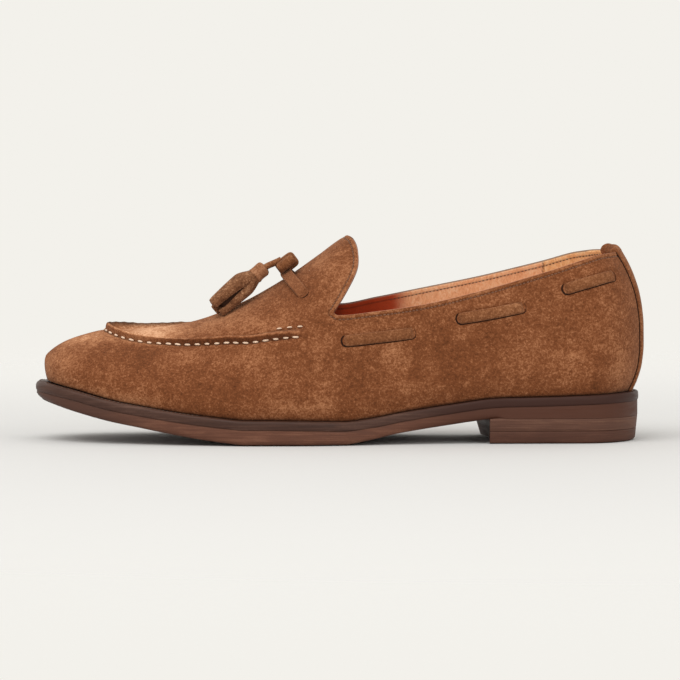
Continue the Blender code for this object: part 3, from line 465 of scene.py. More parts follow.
def free_edge(side):
    """(at, angle) along the cut edge: tongue tip, throat, collar."""
    scale = float(collar_curves[side](COLLAR[0][0])) / TONGUE_EDGE[-1][1]
    rows = np.array(TONGUE_EDGE)
    tongue = []
    for i in range(SAMPLES + 1):
        t = i / SAMPLES * (len(rows) - 1)
        k = min(int(t), len(rows) - 2)
        f = t - k
        a, b, d, e = rows[abs(k - 1)], rows[k], rows[k + 1], rows[min(k + 2, len(rows) - 1)]
        spot = 2 * b + (d - a) * f + (2 * a - 5 * b + 4 * d - e) * f * f
        spot += (3 * b - a - 3 * d + e) * f ** 3
        tongue.append(spot / 2)
    tongue = np.array(tongue)
    lift = 1 + (scale - 1) * smooth((rows[0][1] - tongue[:, 1]) / (rows[0][1] - rows[-1][1]))
    angles = angle_at_height(tongue[:, 0], tongue[:, 1] * TONGUE_HEIGHT * lift)
    angles[0] = CREST_ANGLE
    tongue = np.stack([tongue[:, 0], angles], axis=1)
    start = COLLAR[0][0]
    at = start + (1 - start) * np.sin(math.pi / 2 * np.linspace(0, 1, SAMPLES + 1))
    collar = np.stack([at, angle_at_height(at, collar_curves[side](at) * TONGUE_HEIGHT)], axis=1)
    lengths = running(surface(tongue[:, 0], tongue[:, 1], side))
    front = pick(tongue, lengths, np.linspace(0, lengths[-1], FRONT_STEPS + 1))
    lengths = running(surface(collar[:, 0], collar[:, 1], side))
    back = pick(collar, lengths, np.linspace(0, lengths[-1], BACK_STEPS + 1))
    return np.concatenate([front, back[1:]])


def normals_of(grid):
    """Outward normals of a grid of closed rings, rows from low to high."""
    around = np.roll(grid, -1, axis=1) - np.roll(grid, 1, axis=1)
    up = np.gradient(grid, axis=0)
    return unit(np.cross(up, around))


def join(lateral, medial):
    """Rings from the heel along the lateral side to the toe and back on the medial side."""
    return np.concatenate([lateral[:, ::-1], medial[:, 1:-1]], axis=1)


# Rows of each side's grid: the wall up to the apron seam, the seam's ridge, the top and
# the band along the free edge
SIDE_LEVELS = np.concatenate([np.linspace(0, 0.90, 30), (0.925, 0.945, 0.96, 0.972, 0.982, 0.992, 1.0)])
RIDGE_ROWS = np.arange(0.0003, 0.0066, 0.00027)
TOP_ROWS = 46
EDGE_ROWS = 12
EDGE_BAND = 0.0042


def side_grid(side):
    """(at, angle) of every point of one side, rows from the lower edge to the free edge."""
    stations = toe_stations(SIDE_LEVELS)
    rows = [lower_contour(level, toe, side) for level, toe in zip(SIDE_LEVELS, stations)]
    low = rows[-1]
    high = free_edge(side)
    span = surface(high[:, 0], high[:, 1], side) - surface(low[:, 0], low[:, 1], side)
    span = np.linalg.norm(span, axis=1)
    first = np.minimum(RIDGE_ROWS[-1] / span, 0.5)
    last = np.maximum(1 - EDGE_BAND / span, 0.6)
    steps = [first * offset / RIDGE_ROWS[-1] for offset in RIDGE_ROWS]
    steps += [first + (last - first) * k / TOP_ROWS for k in range(1, TOP_ROWS + 1)]
    steps += [last + (1 - last) * k / EDGE_ROWS for k in range(1, EDGE_ROWS + 1)]
    return np.stack(rows + [low + (high - low) * t[:, None] for t in steps])


def make_mesh(name, points, quads, finish):
    """Mesh object of these points and four-cornered faces."""
    mesh = bpy.data.meshes.new(name)
    points = np.ascontiguousarray(points, dtype=np.float32).reshape(-1, 3)
    quads = np.ascontiguousarray(quads, dtype=np.int32).reshape(-1, 4)
    mesh.vertices.add(len(points))
    mesh.vertices.foreach_set("co", points.ravel())
    mesh.loops.add(quads.size)
    mesh.loops.foreach_set("vertex_index", quads.ravel())
    mesh.polygons.add(len(quads))
    mesh.polygons.foreach_set("loop_start", np.arange(0, quads.size, 4, dtype=np.int32))
    mesh.polygons.foreach_set("loop_total", np.full(len(quads), 4, dtype=np.int32))
    mesh.update(calc_edges=True)
    mesh.validate()
    mesh.shade_smooth()
    mesh.materials.append(finish)
    piece = bpy.data.objects.new(name, mesh)
    bpy.context.scene.collection.objects.link(piece)
    return piece


def grid_quads(rows, columns, wrap=False, flip=False, first=0):
    """Faces of a grid of points, closed around when wrap is set."""
    last = columns if wrap else columns - 1
    r, c = np.meshgrid(np.arange(rows - 1), np.arange(last), indexing="ij")
    a = first + r * columns + c
    b = first + r * columns + (c + 1) % columns
    quads = np.stack([a, b, b + columns, a + columns], axis=-1).reshape(-1, 4)
    return quads[:, ::-1] if flip else quads


def paint(piece, name, values):
    """Keep one number for each vertex, for a material to read."""
    layer = piece.data.attributes.new(name, "FLOAT", "POINT")
    layer.data.foreach_set("value", np.ascontiguousarray(values, dtype=np.float32).ravel())


class Batch:
    """Grids of points that become one mesh."""

    def __init__(self):
        self.points = []
        self.quads = []

    def put(self, grid, flip=False):
        """Add a grid of closed rows."""
        first = sum(len(p) for p in self.points)
        self.points.append(grid.reshape(-1, 3))
        self.quads.append(grid_quads(grid.shape[0], grid.shape[1], wrap=True, flip=flip, first=first))

    def mesh(self, name, finish):
        return make_mesh(name, np.concatenate(self.points), np.concatenate(self.quads), finish)


def add(piece, material_slot, *nodes):
    """The piece rides on the body and stands for CAD nodes; material_slot is not used."""
    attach(piece, BODY)
    if nodes:
        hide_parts(*nodes)


class Line:
    """A line on the shoe, with the way to its upper side at each point."""

    def __init__(self, places, sides):
        self.places = places
        self.sides = sides
        self.lengths = running(places)
        self.tree = kdtree.KDTree(len(places))
        for i, spot in enumerate(places):
            self.tree.insert(spot, i)
        self.tree.balance()

    def field(self, points, reach):
        """Signed distance across the line and distance along it; beyond reach both are nan."""
        flat = points.reshape(-1, 3)
        off = np.full(len(flat), np.nan)
        run = np.full(len(flat), np.nan)
        low = self.places.min(axis=0) - reach
        high = self.places.max(axis=0) + reach
        near = np.nonzero(np.all((flat > low) & (flat < high), axis=1))[0]
        for i in near:
            _, k, distance = self.tree.find(flat[i])
            if distance < reach:
                gap = flat[i] - self.places[k]
                ahead = unit(self.places[min(k + 1, len(self.places) - 1)] - self.places[max(k - 1, 0)])
                across = float(gap @ self.sides[k])
                off[i] = math.copysign(math.sqrt(max(distance ** 2 - float(gap @ ahead) ** 2, 0.0)), across)
                run[i] = self.lengths[k] + float(gap @ ahead)
        return off.reshape(points.shape[:-1]), run.reshape(points.shape[:-1])


def skin_normal(at, angle, side):
    """Outward normal of the last."""
    step = 0.002
    along = surface(at + step, angle, side) - surface(at - step, angle, side)
    around = surface(at, angle + 0.01, side) - surface(at, angle - 0.01, side)
    normal = unit(np.cross(along, around))
    return normal if side == "lateral" else -normal


def line_on_skin(at, angle, side, spacing=0.0002):
    """A Line through (at, angle) points of the last, its upper side towards the crest."""
    rough = surface(at, angle, side)
    lengths = running(rough)
    goals = np.linspace(0, lengths[-1], int(lengths[-1] / spacing) + 2)
    picked = pick(np.stack([at, angle], axis=1), lengths, goals)
    places = surface(picked[:, 0], picked[:, 1], side)
    normals = skin_normal(picked[:, 0], picked[:, 1], side)
    sides = unit(np.cross(normals, np.gradient(places, axis=0)))
    up = surface(picked[:, 0], picked[:, 1] + 0.02, side) - places
    turn = np.sign(np.sum(sides * up, axis=1))
    turn[turn == 0] = 1
    made = Line(places, sides * turn[:, None])
    made.normals = normals
    return made


class Finish:
    """A material under construction, with short calls for its nodes."""

    def __init__(self, name, roughness, specular, sheen=0.0, sheen_tint=(1.0, 1.0, 1.0)):
        self.made = bpy.data.materials.new(name)
        self.made.use_nodes = True
        self.nodes = self.made.node_tree.nodes
        self.links = self.made.node_tree.links
        self.shader = self.nodes["Principled BSDF"]
        self.shader.inputs["Roughness"].default_value = roughness
        self.shader.inputs["Specular IOR Level"].default_value = specular
        self.shader.inputs["Sheen Weight"].default_value = sheen
        self.shader.inputs["Sheen Roughness"].default_value = 0.5
        self.shader.inputs["Sheen Tint"].default_value = (*sheen_tint, 1.0)
        self.spot = self.nodes.new("ShaderNodeTexCoord").outputs["Object"]

    def feed(self, socket, value):
        """A link, a colour or a number into a socket."""
        if isinstance(value, bpy.types.NodeSocket):
            self.links.new(value, socket)
        elif isinstance(value, tuple) and len(value) == 3 and socket.type == "RGBA":
            socket.default_value = (*value, 1.0)
        else:
            socket.default_value = value

    def pattern(self, kind, size, stretch, shift=0.0):
        """A texture node whose pattern is about this many metres across."""
        mapping = self.nodes.new("ShaderNodeMapping")
        mapping.inputs["Scale"].default_value = tuple(1.0 / (size * s) for s in stretch)
        mapping.inputs["Location"].default_value = (shift, shift * 0.7, shift * 1.3)
        self.links.new(self.spot, mapping.inputs["Vector"])
        node = self.nodes.new(kind)
        node.inputs["Scale"].default_value = 1.0
        self.links.new(mapping.outputs["Vector"], node.inputs["Vector"])
        return node

    def noise(self, size, detail, rough, stretch=(1.0, 1.0, 1.0), warp=0.0, shift=0.0):
        """Soft patches."""
        node = self.pattern("ShaderNodeTexNoise", size, stretch, shift)
        node.inputs["Detail"].default_value = detail
        node.inputs["Roughness"].default_value = rough
        node.inputs["Distortion"].default_value = warp
        return node.outputs["Fac"]

    def cells(self, size):
        """Distance to the nearest of scattered points, for pores and grain."""
        return self.pattern("ShaderNodeTexVoronoi", size, (1.0, 1.0, 1.0)).outputs["Distance"]

    def along(self, axis):
        """The place along one of the shoe's axes."""
        node = self.nodes.new("ShaderNodeSeparateXYZ")
        self.links.new(self.spot, node.inputs[0])
        return node.outputs[axis]

    def value(self, name):
        """A number that was painted on the mesh."""
        node = self.nodes.new("ShaderNodeAttribute")
        node.attribute_name = name
        return node.outputs["Fac"]

    def sum(self, *terms):
        """Add (socket, weight) pairs and plain numbers."""
        total = None
        for term in terms:
            if isinstance(term, tuple):
                part = self.math("MULTIPLY", term[0], term[1])
            else:
                part = term
            total = part if total is None else self.math("ADD", total, part)
        return total

    def math(self, operation, a, b):
        node = self.nodes.new("ShaderNodeMath")
        node.operation = operation
        self.feed(node.inputs[0], a)
        self.feed(node.inputs[1], b)
        return node.outputs[0]

    def range(self, value, low, high, to_low=0.0, to_high=1.0):
        """The value eased from one range to another."""
        node = self.nodes.new("ShaderNodeMapRange")
        node.interpolation_type = "SMOOTHSTEP"
        node.clamp = True
        self.feed(node.inputs["Value"], value)
        for key, number in (("From Min", low), ("From Max", high), ("To Min", to_low), ("To Max", to_high)):
            node.inputs[key].default_value = number
        return node.outputs["Result"]

    def ramp(self, value, *stops):
        """Colour of a value between (position, colour) stops."""
        node = self.nodes.new("ShaderNodeValToRGB")
        elements = node.color_ramp.elements
        while len(elements) < len(stops):
            elements.new(0.5)
        for element, (position, colour) in zip(elements, stops):
            element.position = position
            element.color = (*colour, 1.0)
        self.feed(node.inputs["Fac"], value)
        return node.outputs["Color"]

    def mix(self, share, a, b):
        """From one colour to another by a share."""
        node = self.nodes.new("ShaderNodeMix")
        node.data_type = "RGBA"
        self.feed(node.inputs[0], share)
        self.feed(node.inputs[6], a)
        self.feed(node.inputs[7], b)
        return node.outputs[2]

    def bump(self, height, distance, strength):
        node = self.nodes.new("ShaderNodeBump")
        node.inputs["Distance"].default_value = distance
        node.inputs["Strength"].default_value = strength
        self.feed(node.inputs["Height"], height)
        self.feed(self.shader.inputs["Normal"], node.outputs["Normal"])

    def done(self, colour, roughness=None):
        """The finished material."""
        self.feed(self.shader.inputs["Base Color"], colour)
        if roughness is not None:
            self.feed(self.shader.inputs["Roughness"], roughness)
        return self.made


def suede(name, dark, middle, light, blotches=0.55, shift=0.0, marks=False):
    """Napped leather: clouds where the nap lies differently, light flecks and a fine fuzz."""
    f = Finish(name, 0.95, specular=0.10, sheen=0.15, sheen_tint=(0.90, 0.58, 0.40))
    clouds = f.noise(0.019, 3.0, 0.6, warp=0.6, shift=shift)
    patches = f.noise(0.0062, 4.0, 0.65, warp=0.7, shift=shift + 3.1)
    strokes = f.noise(0.0024, 3.0, 0.65, stretch=(1.5, 1.5, 0.9), warp=0.6, shift=shift + 5.7)
    fuzz = f.noise(0.00105, 3.0, 0.75, shift=shift)
    flecks = f.noise(0.00042, 2.0, 0.6, shift=shift + 1.7)
    specks = f.math("MULTIPLY", f.range(f.cells(0.0021), 0.06, 0.20, 1.0, 0.0), f.range(patches, 0.46, 0.62))
    tone = f.sum((clouds, 0.68 * blotches), (patches, 0.62 * blotches), (strokes, 0.40),
                 (fuzz, 0.95), (flecks, 0.50), (specks, 0.18), 0.47 - 0.65 * blotches - 0.935)
    # Painted on the mesh: tone, which holds patches of the nap as well as painted highlights and painted
    # shade
    if marks:
        tone = f.sum(tone, (f.value("tone"), 1.0))
    stops = [(0.10, dark), (0.46, middle), (0.82, light)]
    # The palest stop is there for the painted highlight on the toe's plug
    if marks:
        stops.append((1.0, (0.66, 0.37, 0.215)))
    colour = f.ramp(tone, *stops)
    height = f.sum((fuzz, 0.6), (flecks, 0.35), (strokes, 0.5))
    # The pale cut edge, then painted shade from the shade attribute
    if marks:
        colour = f.mix(f.value("cut"), colour, (0.45, 0.22, 0.14))
        shade = f.value("shade")
        colour = f.mix(shade, colour, (0.022, 0.008, 0.004))
    f.bump(height, 0.0007, 0.8)
    return f.done(colour)


def thread(name, colour, shade):
    """Twisted thread, darker in its grooves."""
    f = Finish(name, 0.7, specular=0.25, sheen=0.2)
    twist = f.noise(0.0005, 2.0, 0.6)
    tone = f.ramp(twist, (0.3, shade), (0.65, colour))
    f.bump(twist, 0.0002, 0.7)
    return f.done(tone)


def edge_leather(name, dark, middle, light, layers, gloss, behind=None, toe=None):
    """Stained leather edge: fine fibre lines that run along it, rubbed lighter in places."""
    f = Finish(name, gloss, specular=0.2)
    lines = f.noise(0.0016, 3.0, 0.6, stretch=(14.0, 14.0, 0.35))
    rub = f.noise(0.011, 4.0, 0.65, stretch=(2.2, 2.2, 0.35), warp=0.4, shift=2.0)
    specks = f.noise(0.0006, 2.0, 0.6)
    tone = f.sum((lines, 0.6), (rub, 0.75), (specks, 0.2), -0.28)
    colour = f.ramp(tone, (0.15, dark), (0.5, middle), (0.85, light))
    if behind:
        colour = f.mix(f.range(f.along("X"), -0.085, -0.045), colour, behind)
    if toe:
        colour = f.mix(f.range(f.along("X"), -0.228, -0.190, 0.8, 0.0), colour, toe)
    f.bump(f.sum((lines, 1.0), (specks, 0.3)), 0.0003, layers)
    rough = f.range(rub, 0.3, 0.7, gloss - 0.08, gloss + 0.15)
    return f.done(colour, rough)


def lining_leather():
    """Smooth lining: tan behind and dark red-brown in front as painted shade, with fine pores and soft
    wrinkles.
    """
    f = Finish("lining", 0.5, specular=0.35)
    clouds = f.noise(0.012, 3.0, 0.6, warp=0.5)
    pores = f.cells(0.0006)
    wrinkles = f.noise(0.0019, 3.0, 0.6, stretch=(0.8, 0.8, 2.0), warp=1.6)
    # Painted shade: the lining deep inside the front is drawn dark red-brown
    front = f.mix(clouds, (0.34, 0.040, 0.011), (0.46, 0.066, 0.018))
    folds = f.sum((clouds, 0.45), (wrinkles, 0.75), -0.10)
    tan = f.ramp(folds, (0.25, (0.66, 0.25, 0.11)), (0.5, (0.88, 0.47, 0.25)), (0.72, (0.96, 0.66, 0.42)))
    heel = f.ramp(folds, (0.25, (0.64, 0.27, 0.11)), (0.5, (0.90, 0.50, 0.23)), (0.72, (0.96, 0.70, 0.42)))
    back = f.mix(f.range(f.along("X"), -0.0082, -0.0076), tan, heel)
    colour = f.mix(f.value("front"), back, front)
    colour = f.mix(f.value("cut"), colour, (0.13, 0.065, 0.042))
    colour = f.mix(f.value("shade"), colour, (0.05, 0.014, 0.006))
    f.bump(f.sum((pores, 0.25), (wrinkles, 0.8)), 0.0004, 0.5)
    return f.done(colour, f.range(clouds, 0.3, 0.7, 0.42, 0.58))


suede_upper = suede("suede_upper", (0.066, 0.0195, 0.0060), (0.172, 0.0545, 0.0190), (0.41, 0.180, 0.084),
                    marks=True)
suede_thong = suede("suede_thong", (0.075, 0.0250, 0.0088), (0.176, 0.0630, 0.0240), (0.37, 0.170, 0.080),
                    0.45, 4.0)
suede_head = suede("suede_head", (0.110, 0.042, 0.018), (0.265, 0.110, 0.052), (0.48, 0.25, 0.14), 0.45, 6.0)
suede_tassel = suede("suede_tassel", (0.060, 0.022, 0.009), (0.170, 0.068, 0.030), (0.50, 0.27, 0.145),
                     0.75, 9.0)
suede_strip = suede("suede_strip", (0.080, 0.026, 0.009), (0.190, 0.066, 0.026), (0.38, 0.17, 0.080),
                    0.45, 13.0)
cream_thread = thread("cream_thread", (0.84, 0.64, 0.48), (0.52, 0.34, 0.23))
tan_thread = thread("tan_thread", (0.22, 0.105, 0.058), (0.10, 0.038, 0.018))
dark_thread = thread("dark_thread", (0.11, 0.045, 0.022), (0.045, 0.016, 0.009))
welt_thread = thread("welt_thread", (0.11, 0.062, 0.044), (0.040, 0.020, 0.014))
lining = lining_leather()
welt_finish = edge_leather("welt_edge", (0.026, 0.0105, 0.0070), (0.058, 0.0255, 0.0170),
                           (0.125, 0.066, 0.048), 0.35, 0.48, behind=(0.037, 0.0125, 0.0078))
sole_finish = edge_leather("sole_edge", (0.062, 0.024, 0.0145), (0.118, 0.046, 0.0270),
                           (0.23, 0.105, 0.064), 0.5, 0.55, behind=(0.072, 0.0255, 0.0142),
                           toe=(0.066, 0.0290, 0.0200))
lift_finish = edge_leather("lift_edge", (0.064, 0.026, 0.016), (0.102, 0.045, 0.0290),
                           (0.175, 0.088, 0.056), 0.6, 0.55)
top_finish = edge_leather("top_piece", (0.046, 0.018, 0.011), (0.074, 0.0290, 0.0180),
                          (0.125, 0.056, 0.036), 0.3, 0.58)
# A near-black finish for painted shade: in the slots, under the thongs, inside the tassels and along the
# backstay
painted_shade_dark = Finish("painted_shade", 0.95, specular=0.1).done((0.022, 0.0085, 0.0045))

# The upper: its skin, its lining and the lines that are sewn on it
parameters = {side: side_grid(side) for side in SIDES}
skins = {side: surface(p[..., 0], p[..., 1], side) for side, p in parameters.items()}
base = join(skins["lateral"], skins["medial"])
base_x = base[..., 0]
base_z = base[..., 2]
base_at = join(parameters["lateral"][..., 0], parameters["medial"][..., 0])
normals = normals_of(base)
# Where the tongue meets the collar the rings fold back on themselves, so the last gives the normals there
smooth_normals = join(*(skin_normal(p[..., 0], p[..., 1], side) for side, p in parameters.items()))
at_throat = np.abs(base_x - place(THROAT)) < 0.020
normals[at_throat] = smooth_normals[at_throat]
ROWS, COLUMNS = base.shape[:2]
SEAM_ROW = len(SIDE_LEVELS) - 1
TOE_COLUMN = FRONT_STEPS + BACK_STEPS


def ring_line(row, first, last, spacing=0.00025):
    """A Line along a row of the upper's rings from one column to another."""
    columns = np.arange(first, last + 1) % COLUMNS
    places = base[row, columns]
    outward = normals[row, columns]
    lengths = running(places)
    goals = np.linspace(0, lengths[-1], int(lengths[-1] / spacing) + 2)
    values = pick(np.concatenate([places, outward, base_at[row, columns][:, None]], axis=1), lengths, goals)
    places = values[:, :3]
    outward = unit(values[:, 3:6])
    sides = unit(np.cross(np.gradient(places, axis=0), outward))
    if sides[:, 2].mean() < 0:
        sides = -sides
    made = Line(places, sides)
    made.normals = outward
    made.at = values[:, 6]
    return made


half = FRONT_STEPS + 6
seam_line = ring_line(SEAM_ROW, TOE_COLUMN - half, TOE_COLUMN + half)
seam_line.fade = 1 - smooth((seam_line.at - APRON_END + APRON_FADE / 2) / APRON_FADE)
# The free edge, from the heel along the lateral collar and tongue, and back on the medial side
edge_line = ring_line(ROWS - 1, 0, COLUMNS - 1)

STITCH_PITCH = 0.00495
RIM_ROUND = 0.00042      # how far the cut edge stands up in its middle
# The seam's ridge: distance across the seam and height
RIDGE = (
    (-2.2e-3, 0.0),
    (-1.2e-3, -0.06e-3),
    (-0.45e-3, -0.42e-3),
    (0.0, -0.40e-3),
    (0.35e-3, 0.55e-3),
    (0.80e-3, 1.85e-3),
    (1.30e-3, 2.60e-3),
    (1.90e-3, 2.85e-3),
    (2.60e-3, 2.55e-3),
    (3.30e-3, 1.50e-3),
    (4.00e-3, 0.30e-3),
    (4.60e-3, -0.25e-3),
    (5.60e-3, 0.0),
)
ridge_curve = curve(RIDGE, 1)

# Soft creases: points (x, z) on the side of the shoe, half width, depth (a ridge if negative)
CREASES = (
    (((-0.147, 0.047), (-0.137, 0.043), (-0.128, 0.0395)), 0.0042, 0.00045),
    (((-0.140, 0.040), (-0.129, 0.0345), (-0.119, 0.0315)), 0.0050, 0.00040),
    (((-0.128, 0.054), (-0.120, 0.0495), (-0.110, 0.047)), 0.0045, 0.00030),
    (((-0.100, 0.041), (-0.086, 0.0385), (-0.070, 0.038)), 0.0060, 0.00035),
    (((-0.152, 0.031), (-0.138, 0.0262), (-0.122, 0.0240)), 0.0050, -0.00030),
    (((-0.060, 0.046), (-0.044, 0.0440), (-0.026, 0.0450)), 0.0070, 0.00035),
    (((-0.012, 0.052), (0.004, 0.049), (0.018, 0.050)), 0.0070, 0.00030),
    (((-0.112, 0.061), (-0.103, 0.0575), (-0.094, 0.056)), 0.0040, 0.00030),
)

# Lighter (positive) and darker patches of the nap on the side: x, z, half length, half height, tone
PATCHES = (
    (-0.247, 0.040, 0.010, 0.018, 0.17),
    (-0.236, 0.051, 0.012, 0.006, 0.17),
    (-0.238, 0.024, 0.018, 0.006, 0.15),
    (-0.214, 0.019, 0.022, 0.005, 0.24),
    (-0.156, 0.056, 0.018, 0.006, 0.16),
    (-0.207, 0.044, 0.016, 0.008, -0.10),
    (-0.205, 0.029, 0.012, 0.007, -0.08),
    (-0.185, 0.042, 0.016, 0.004, 0.10),
    (-0.184, 0.030, 0.020, 0.011, -0.04),
    (-0.159, 0.027, 0.018, 0.010, -0.06),
    (-0.150, 0.044, 0.012, 0.005, 0.09),
    (-0.135, 0.018, 0.022, 0.005, 0.10),
    (-0.128, 0.034, 0.016, 0.008, 0.03),
    (-0.117, 0.020, 0.012, 0.006, 0.08),
    (-0.103, 0.028, 0.014, 0.008, -0.08),
    (-0.098, 0.050, 0.012, 0.006, 0.08),
    (-0.082, 0.043, 0.010, 0.007, 0.10),
    (-0.075, 0.028, 0.014, 0.007, 0.04),
    (-0.064, 0.046, 0.012, 0.008, -0.06),
    (-0.050, 0.036, 0.018, 0.007, -0.05),
    (-0.036, 0.052, 0.012, 0.008, -0.05),
    (-0.034, 0.024, 0.016, 0.006, -0.10),
    (-0.020, 0.040, 0.012, 0.007, 0.05),
    (0.000, 0.043, 0.016, 0.010, 0.10),
    (0.006, 0.026, 0.020, 0.006, -0.10),
    (0.014, 0.056, 0.012, 0.008, 0.07),
    (0.020, 0.070, 0.012, 0.007, 0.05),
    (0.028, 0.040, 0.006, 0.020, 0.12),
    (-0.116, 0.085, 0.012, 0.010, 0.10),
    (-0.130, 0.070, 0.010, 0.010, -0.06),
    (-0.110, 0.070, 0.012, 0.006, 0.05),
)


def crease_depth(at_x, at_z):
    """Depth of the creases at points seen from the side."""
    total = np.zeros(at_x.shape)
    t = np.linspace(0, 1, 40)
    for path, reach, depth in CREASES:
        path = np.array(path)
        knots = np.linspace(0, 1, len(path))
        line_x = np.interp(t, knots, path[:, 0])
        line_z = np.interp(t, knots, path[:, 1])
        best = np.full(at_x.shape, np.inf)
        share = np.zeros(at_x.shape)
        for k in range(len(t)):
            gap = np.hypot(at_x - line_x[k], at_z - line_z[k])
            closer = gap < best
            best = np.where(closer, gap, best)
            share = np.where(closer, t[k], share)
        fade = np.sin(math.pi * np.clip(share, 0.02, 0.98)) ** 0.7
        total += depth * bump(best / reach) * fade
    return total


def patch_tone(at_x, at_z):
    """Tone of the patches at points seen from the side."""
    total = np.zeros(at_x.shape)
    for x, z, length, height, tone in PATCHES:
        away = np.hypot((at_x - x) / length, (at_z - z) / height)
        total += tone * np.exp(-1.4 * away ** 2)
    return total


thong_lines = []
for side in SIDES:
    for number, (start, end, drop_start, drop_end) in enumerate(THONG, 1):
        t = np.linspace(0, 1, 60)
        at = start + (end - start) * t
        drop = drop_start + (drop_end - drop_start) * t
        angle = angle_at_height(at, (collar_curves[side](at) - drop) * TONGUE_HEIGHT)
        thong_lines.append((f"collar_thong_{side}_{number}", line_on_skin(at, angle, side)))


def strap_path(steps):
    """(at, angle) of half of the front strap, from the centre line to its slot."""
    t = np.linspace(0, 1, steps)
    return STRAP_AT + STRAP_BOW * t * t, CREST_ANGLE - np.radians(STRAP_SPREAD) * t


strap_lines = [line_on_skin(*strap_path(60), side) for side in SIDES]

seam_off, seam_run = seam_line.field(base, 0.0062)
edge_off = edge_line.field(base, 0.0060)[0]
lift = np.zeros(base.shape[:2])
shade = np.zeros(base.shape[:2])
tone = np.zeros(base.shape[:2])

# The ridge of the apron seam, with a dark line and paler and darker bands beside it: painted shade in the
# seam's groove, at the ridge's foot and on the far ridge's inner face, a painted highlight on its top and
# painted shade on its outer wall
near = ~np.isnan(seam_off)
off = seam_off[near]
fade = np.interp(seam_run[near], seam_line.lengths, seam_line.fade)
beat = np.cos(2 * math.pi * seam_run[near] / STITCH_PITCH)
rise = ridge_curve(off) * (1 - 0.035 * beat)
far = (seam_run[near] > seam_line.lengths[-1] / 2) * smooth((-0.170 - base_x[near]) / 0.025)
lift[near] += rise * fade * (1 + 0.20 * far)
shade[near] += 0.92 * far * stripe(off, 0.0023, 0.0017)
shade[near] += 0.55 * stripe(off, -0.0001, 0.0007) * fade
shade[near] += 0.50 * stripe(off, 0.0045, 0.0009) * fade * (1 - 0.8 * far)
tone[near] += fade * (0.13 * stripe(off, 0.0021, 0.0011) - 0.20 * stripe(off, 0.00075, 0.0010))

# The apron lies a little lower in front
rows = np.arange(ROWS)[:, None]
inside_apron = smooth((rows - SEAM_ROW - 0.6 * len(RIDGE_ROWS)) / (0.35 * TOP_ROWS))
lift -= 0.0011 * inside_apron * smooth((-0.168 - base_x) / 0.028) * smooth((base_x + 0.2262) / 0.004)

# The stitched band along the free edge, with a paler line on its raised bead and painted shade in its stitch
# groove
near = ~np.isnan(edge_off)
from_edge = np.abs(edge_off[near])
lift[near] += 0.00016 * stripe(from_edge, 0.0009, 0.0011) - 0.00030 * stripe(from_edge, 0.0020, 0.0007)
shade[near] += 0.50 * stripe(from_edge, 0.0020, 0.00055)
tone[near] += 0.08 * stripe(from_edge, 0.0008, 0.0010)

# Thongs and strap press into the suede, which stands up round them and at their slots
PRESS_REACH = 0.0070
for name, line in thong_lines:
    off, run = line.field(base, PRESS_REACH)
    near = ~np.isnan(off)
    total = line.lengths[-1]
    inside = smooth(run[near] / 0.003) * smooth((total - run[near]) / 0.003)
    across = np.abs(off[near])
    beyond = np.maximum(-run[near], run[near] - total)
    ends = np.hypot(np.maximum(beyond, 0.0), off[near])
    lift[near] -= 0.00045 * bump(across / 0.0042) * inside
    lift[near] += 0.00028 * stripe(across, 0.0046, 0.0022) * inside
    lift[near] += 0.00022 * stripe(ends, 0.0040, 0.0016) * (beyond > 0)

for line in strap_lines:
    off, run = line.field(base, PRESS_REACH)
    near = ~np.isnan(off)
    inside = smooth((line.lengths[-1] - run[near]) / 0.003)
    lift[near] -= 0.00025 * bump(np.abs(off[near]) / 0.0042) * inside

# Creases, patches of the nap, a painted highlight on the toe's plug and on the upward faces in front, and
# painted shade along the welt
facing = np.abs(normals[..., 1])
lift -= crease_depth(base_x, base_z) * (facing > 0.15)
tone += patch_tone(base_x, base_z) * smooth((facing - 0.05) / 0.3)
plug_highlight = stripe(base_x, -0.203, 0.022) * smooth((normals[..., 2] - 0.55) / 0.3)
tone += 0.33 * plug_highlight * smooth((base_z - 0.045) / 0.006)
tone += 0.14 * smooth((normals[..., 2] - 0.75) / 0.2) * smooth((-0.14 - base_x) / 0.03)
# Painted shade where the upper meets the welt
shade += 0.55 * bump((base_z - base_z[0:1]) / 0.0014)

skin = base + normals * lift[..., None]
skin[0, :, 2] = base[0, :, 2]
rim_up = unit(base[-1] - base[-2])
rim_rows = []
lining_rim = []
for k in range(1, 7):
    turn = math.pi * k / 7
    spot = base[-1] - normals[-1] * WALL * (1 - math.cos(turn)) / 2 + rim_up * RIM_ROUND * math.sin(turn)
    (rim_rows if k <= 3 else lining_rim).append(spot)
rim_rows = np.stack(rim_rows)
foot = base[0] - normals[0] * 0.0006
foot[:, 2] = base[0, :, 2] - 0.0002
outer = np.concatenate([foot[None], skin, rim_rows])
upper = make_mesh("upper_skin", outer, grid_quads(len(outer), COLUMNS, wrap=True), suede_upper)


def framed(values, foot_value, rim_value):
    """A value for each vertex of the skin with its foot row and rim rows."""
    foot_row = np.full((1, COLUMNS), foot_value)
    return np.concatenate([foot_row, values, np.full((len(rim_rows), COLUMNS), rim_value)])


paint(upper, "tone", framed(tone, 0.0, 0.0))
# The foot row, tucked into the welt's crease, gets painted shade
paint(upper, "shade", np.clip(framed(shade, 0.9, 0.0), 0, 1))
cut = framed(np.zeros(base.shape[:2]), 0.0, 0.75)
# The far (medial) side's pale cut edge is toned down, as painted shade
cut[:, FRONT_STEPS + BACK_STEPS:] *= 0.2
paint(upper, "cut", cut)
add(upper, "suede", "upper")

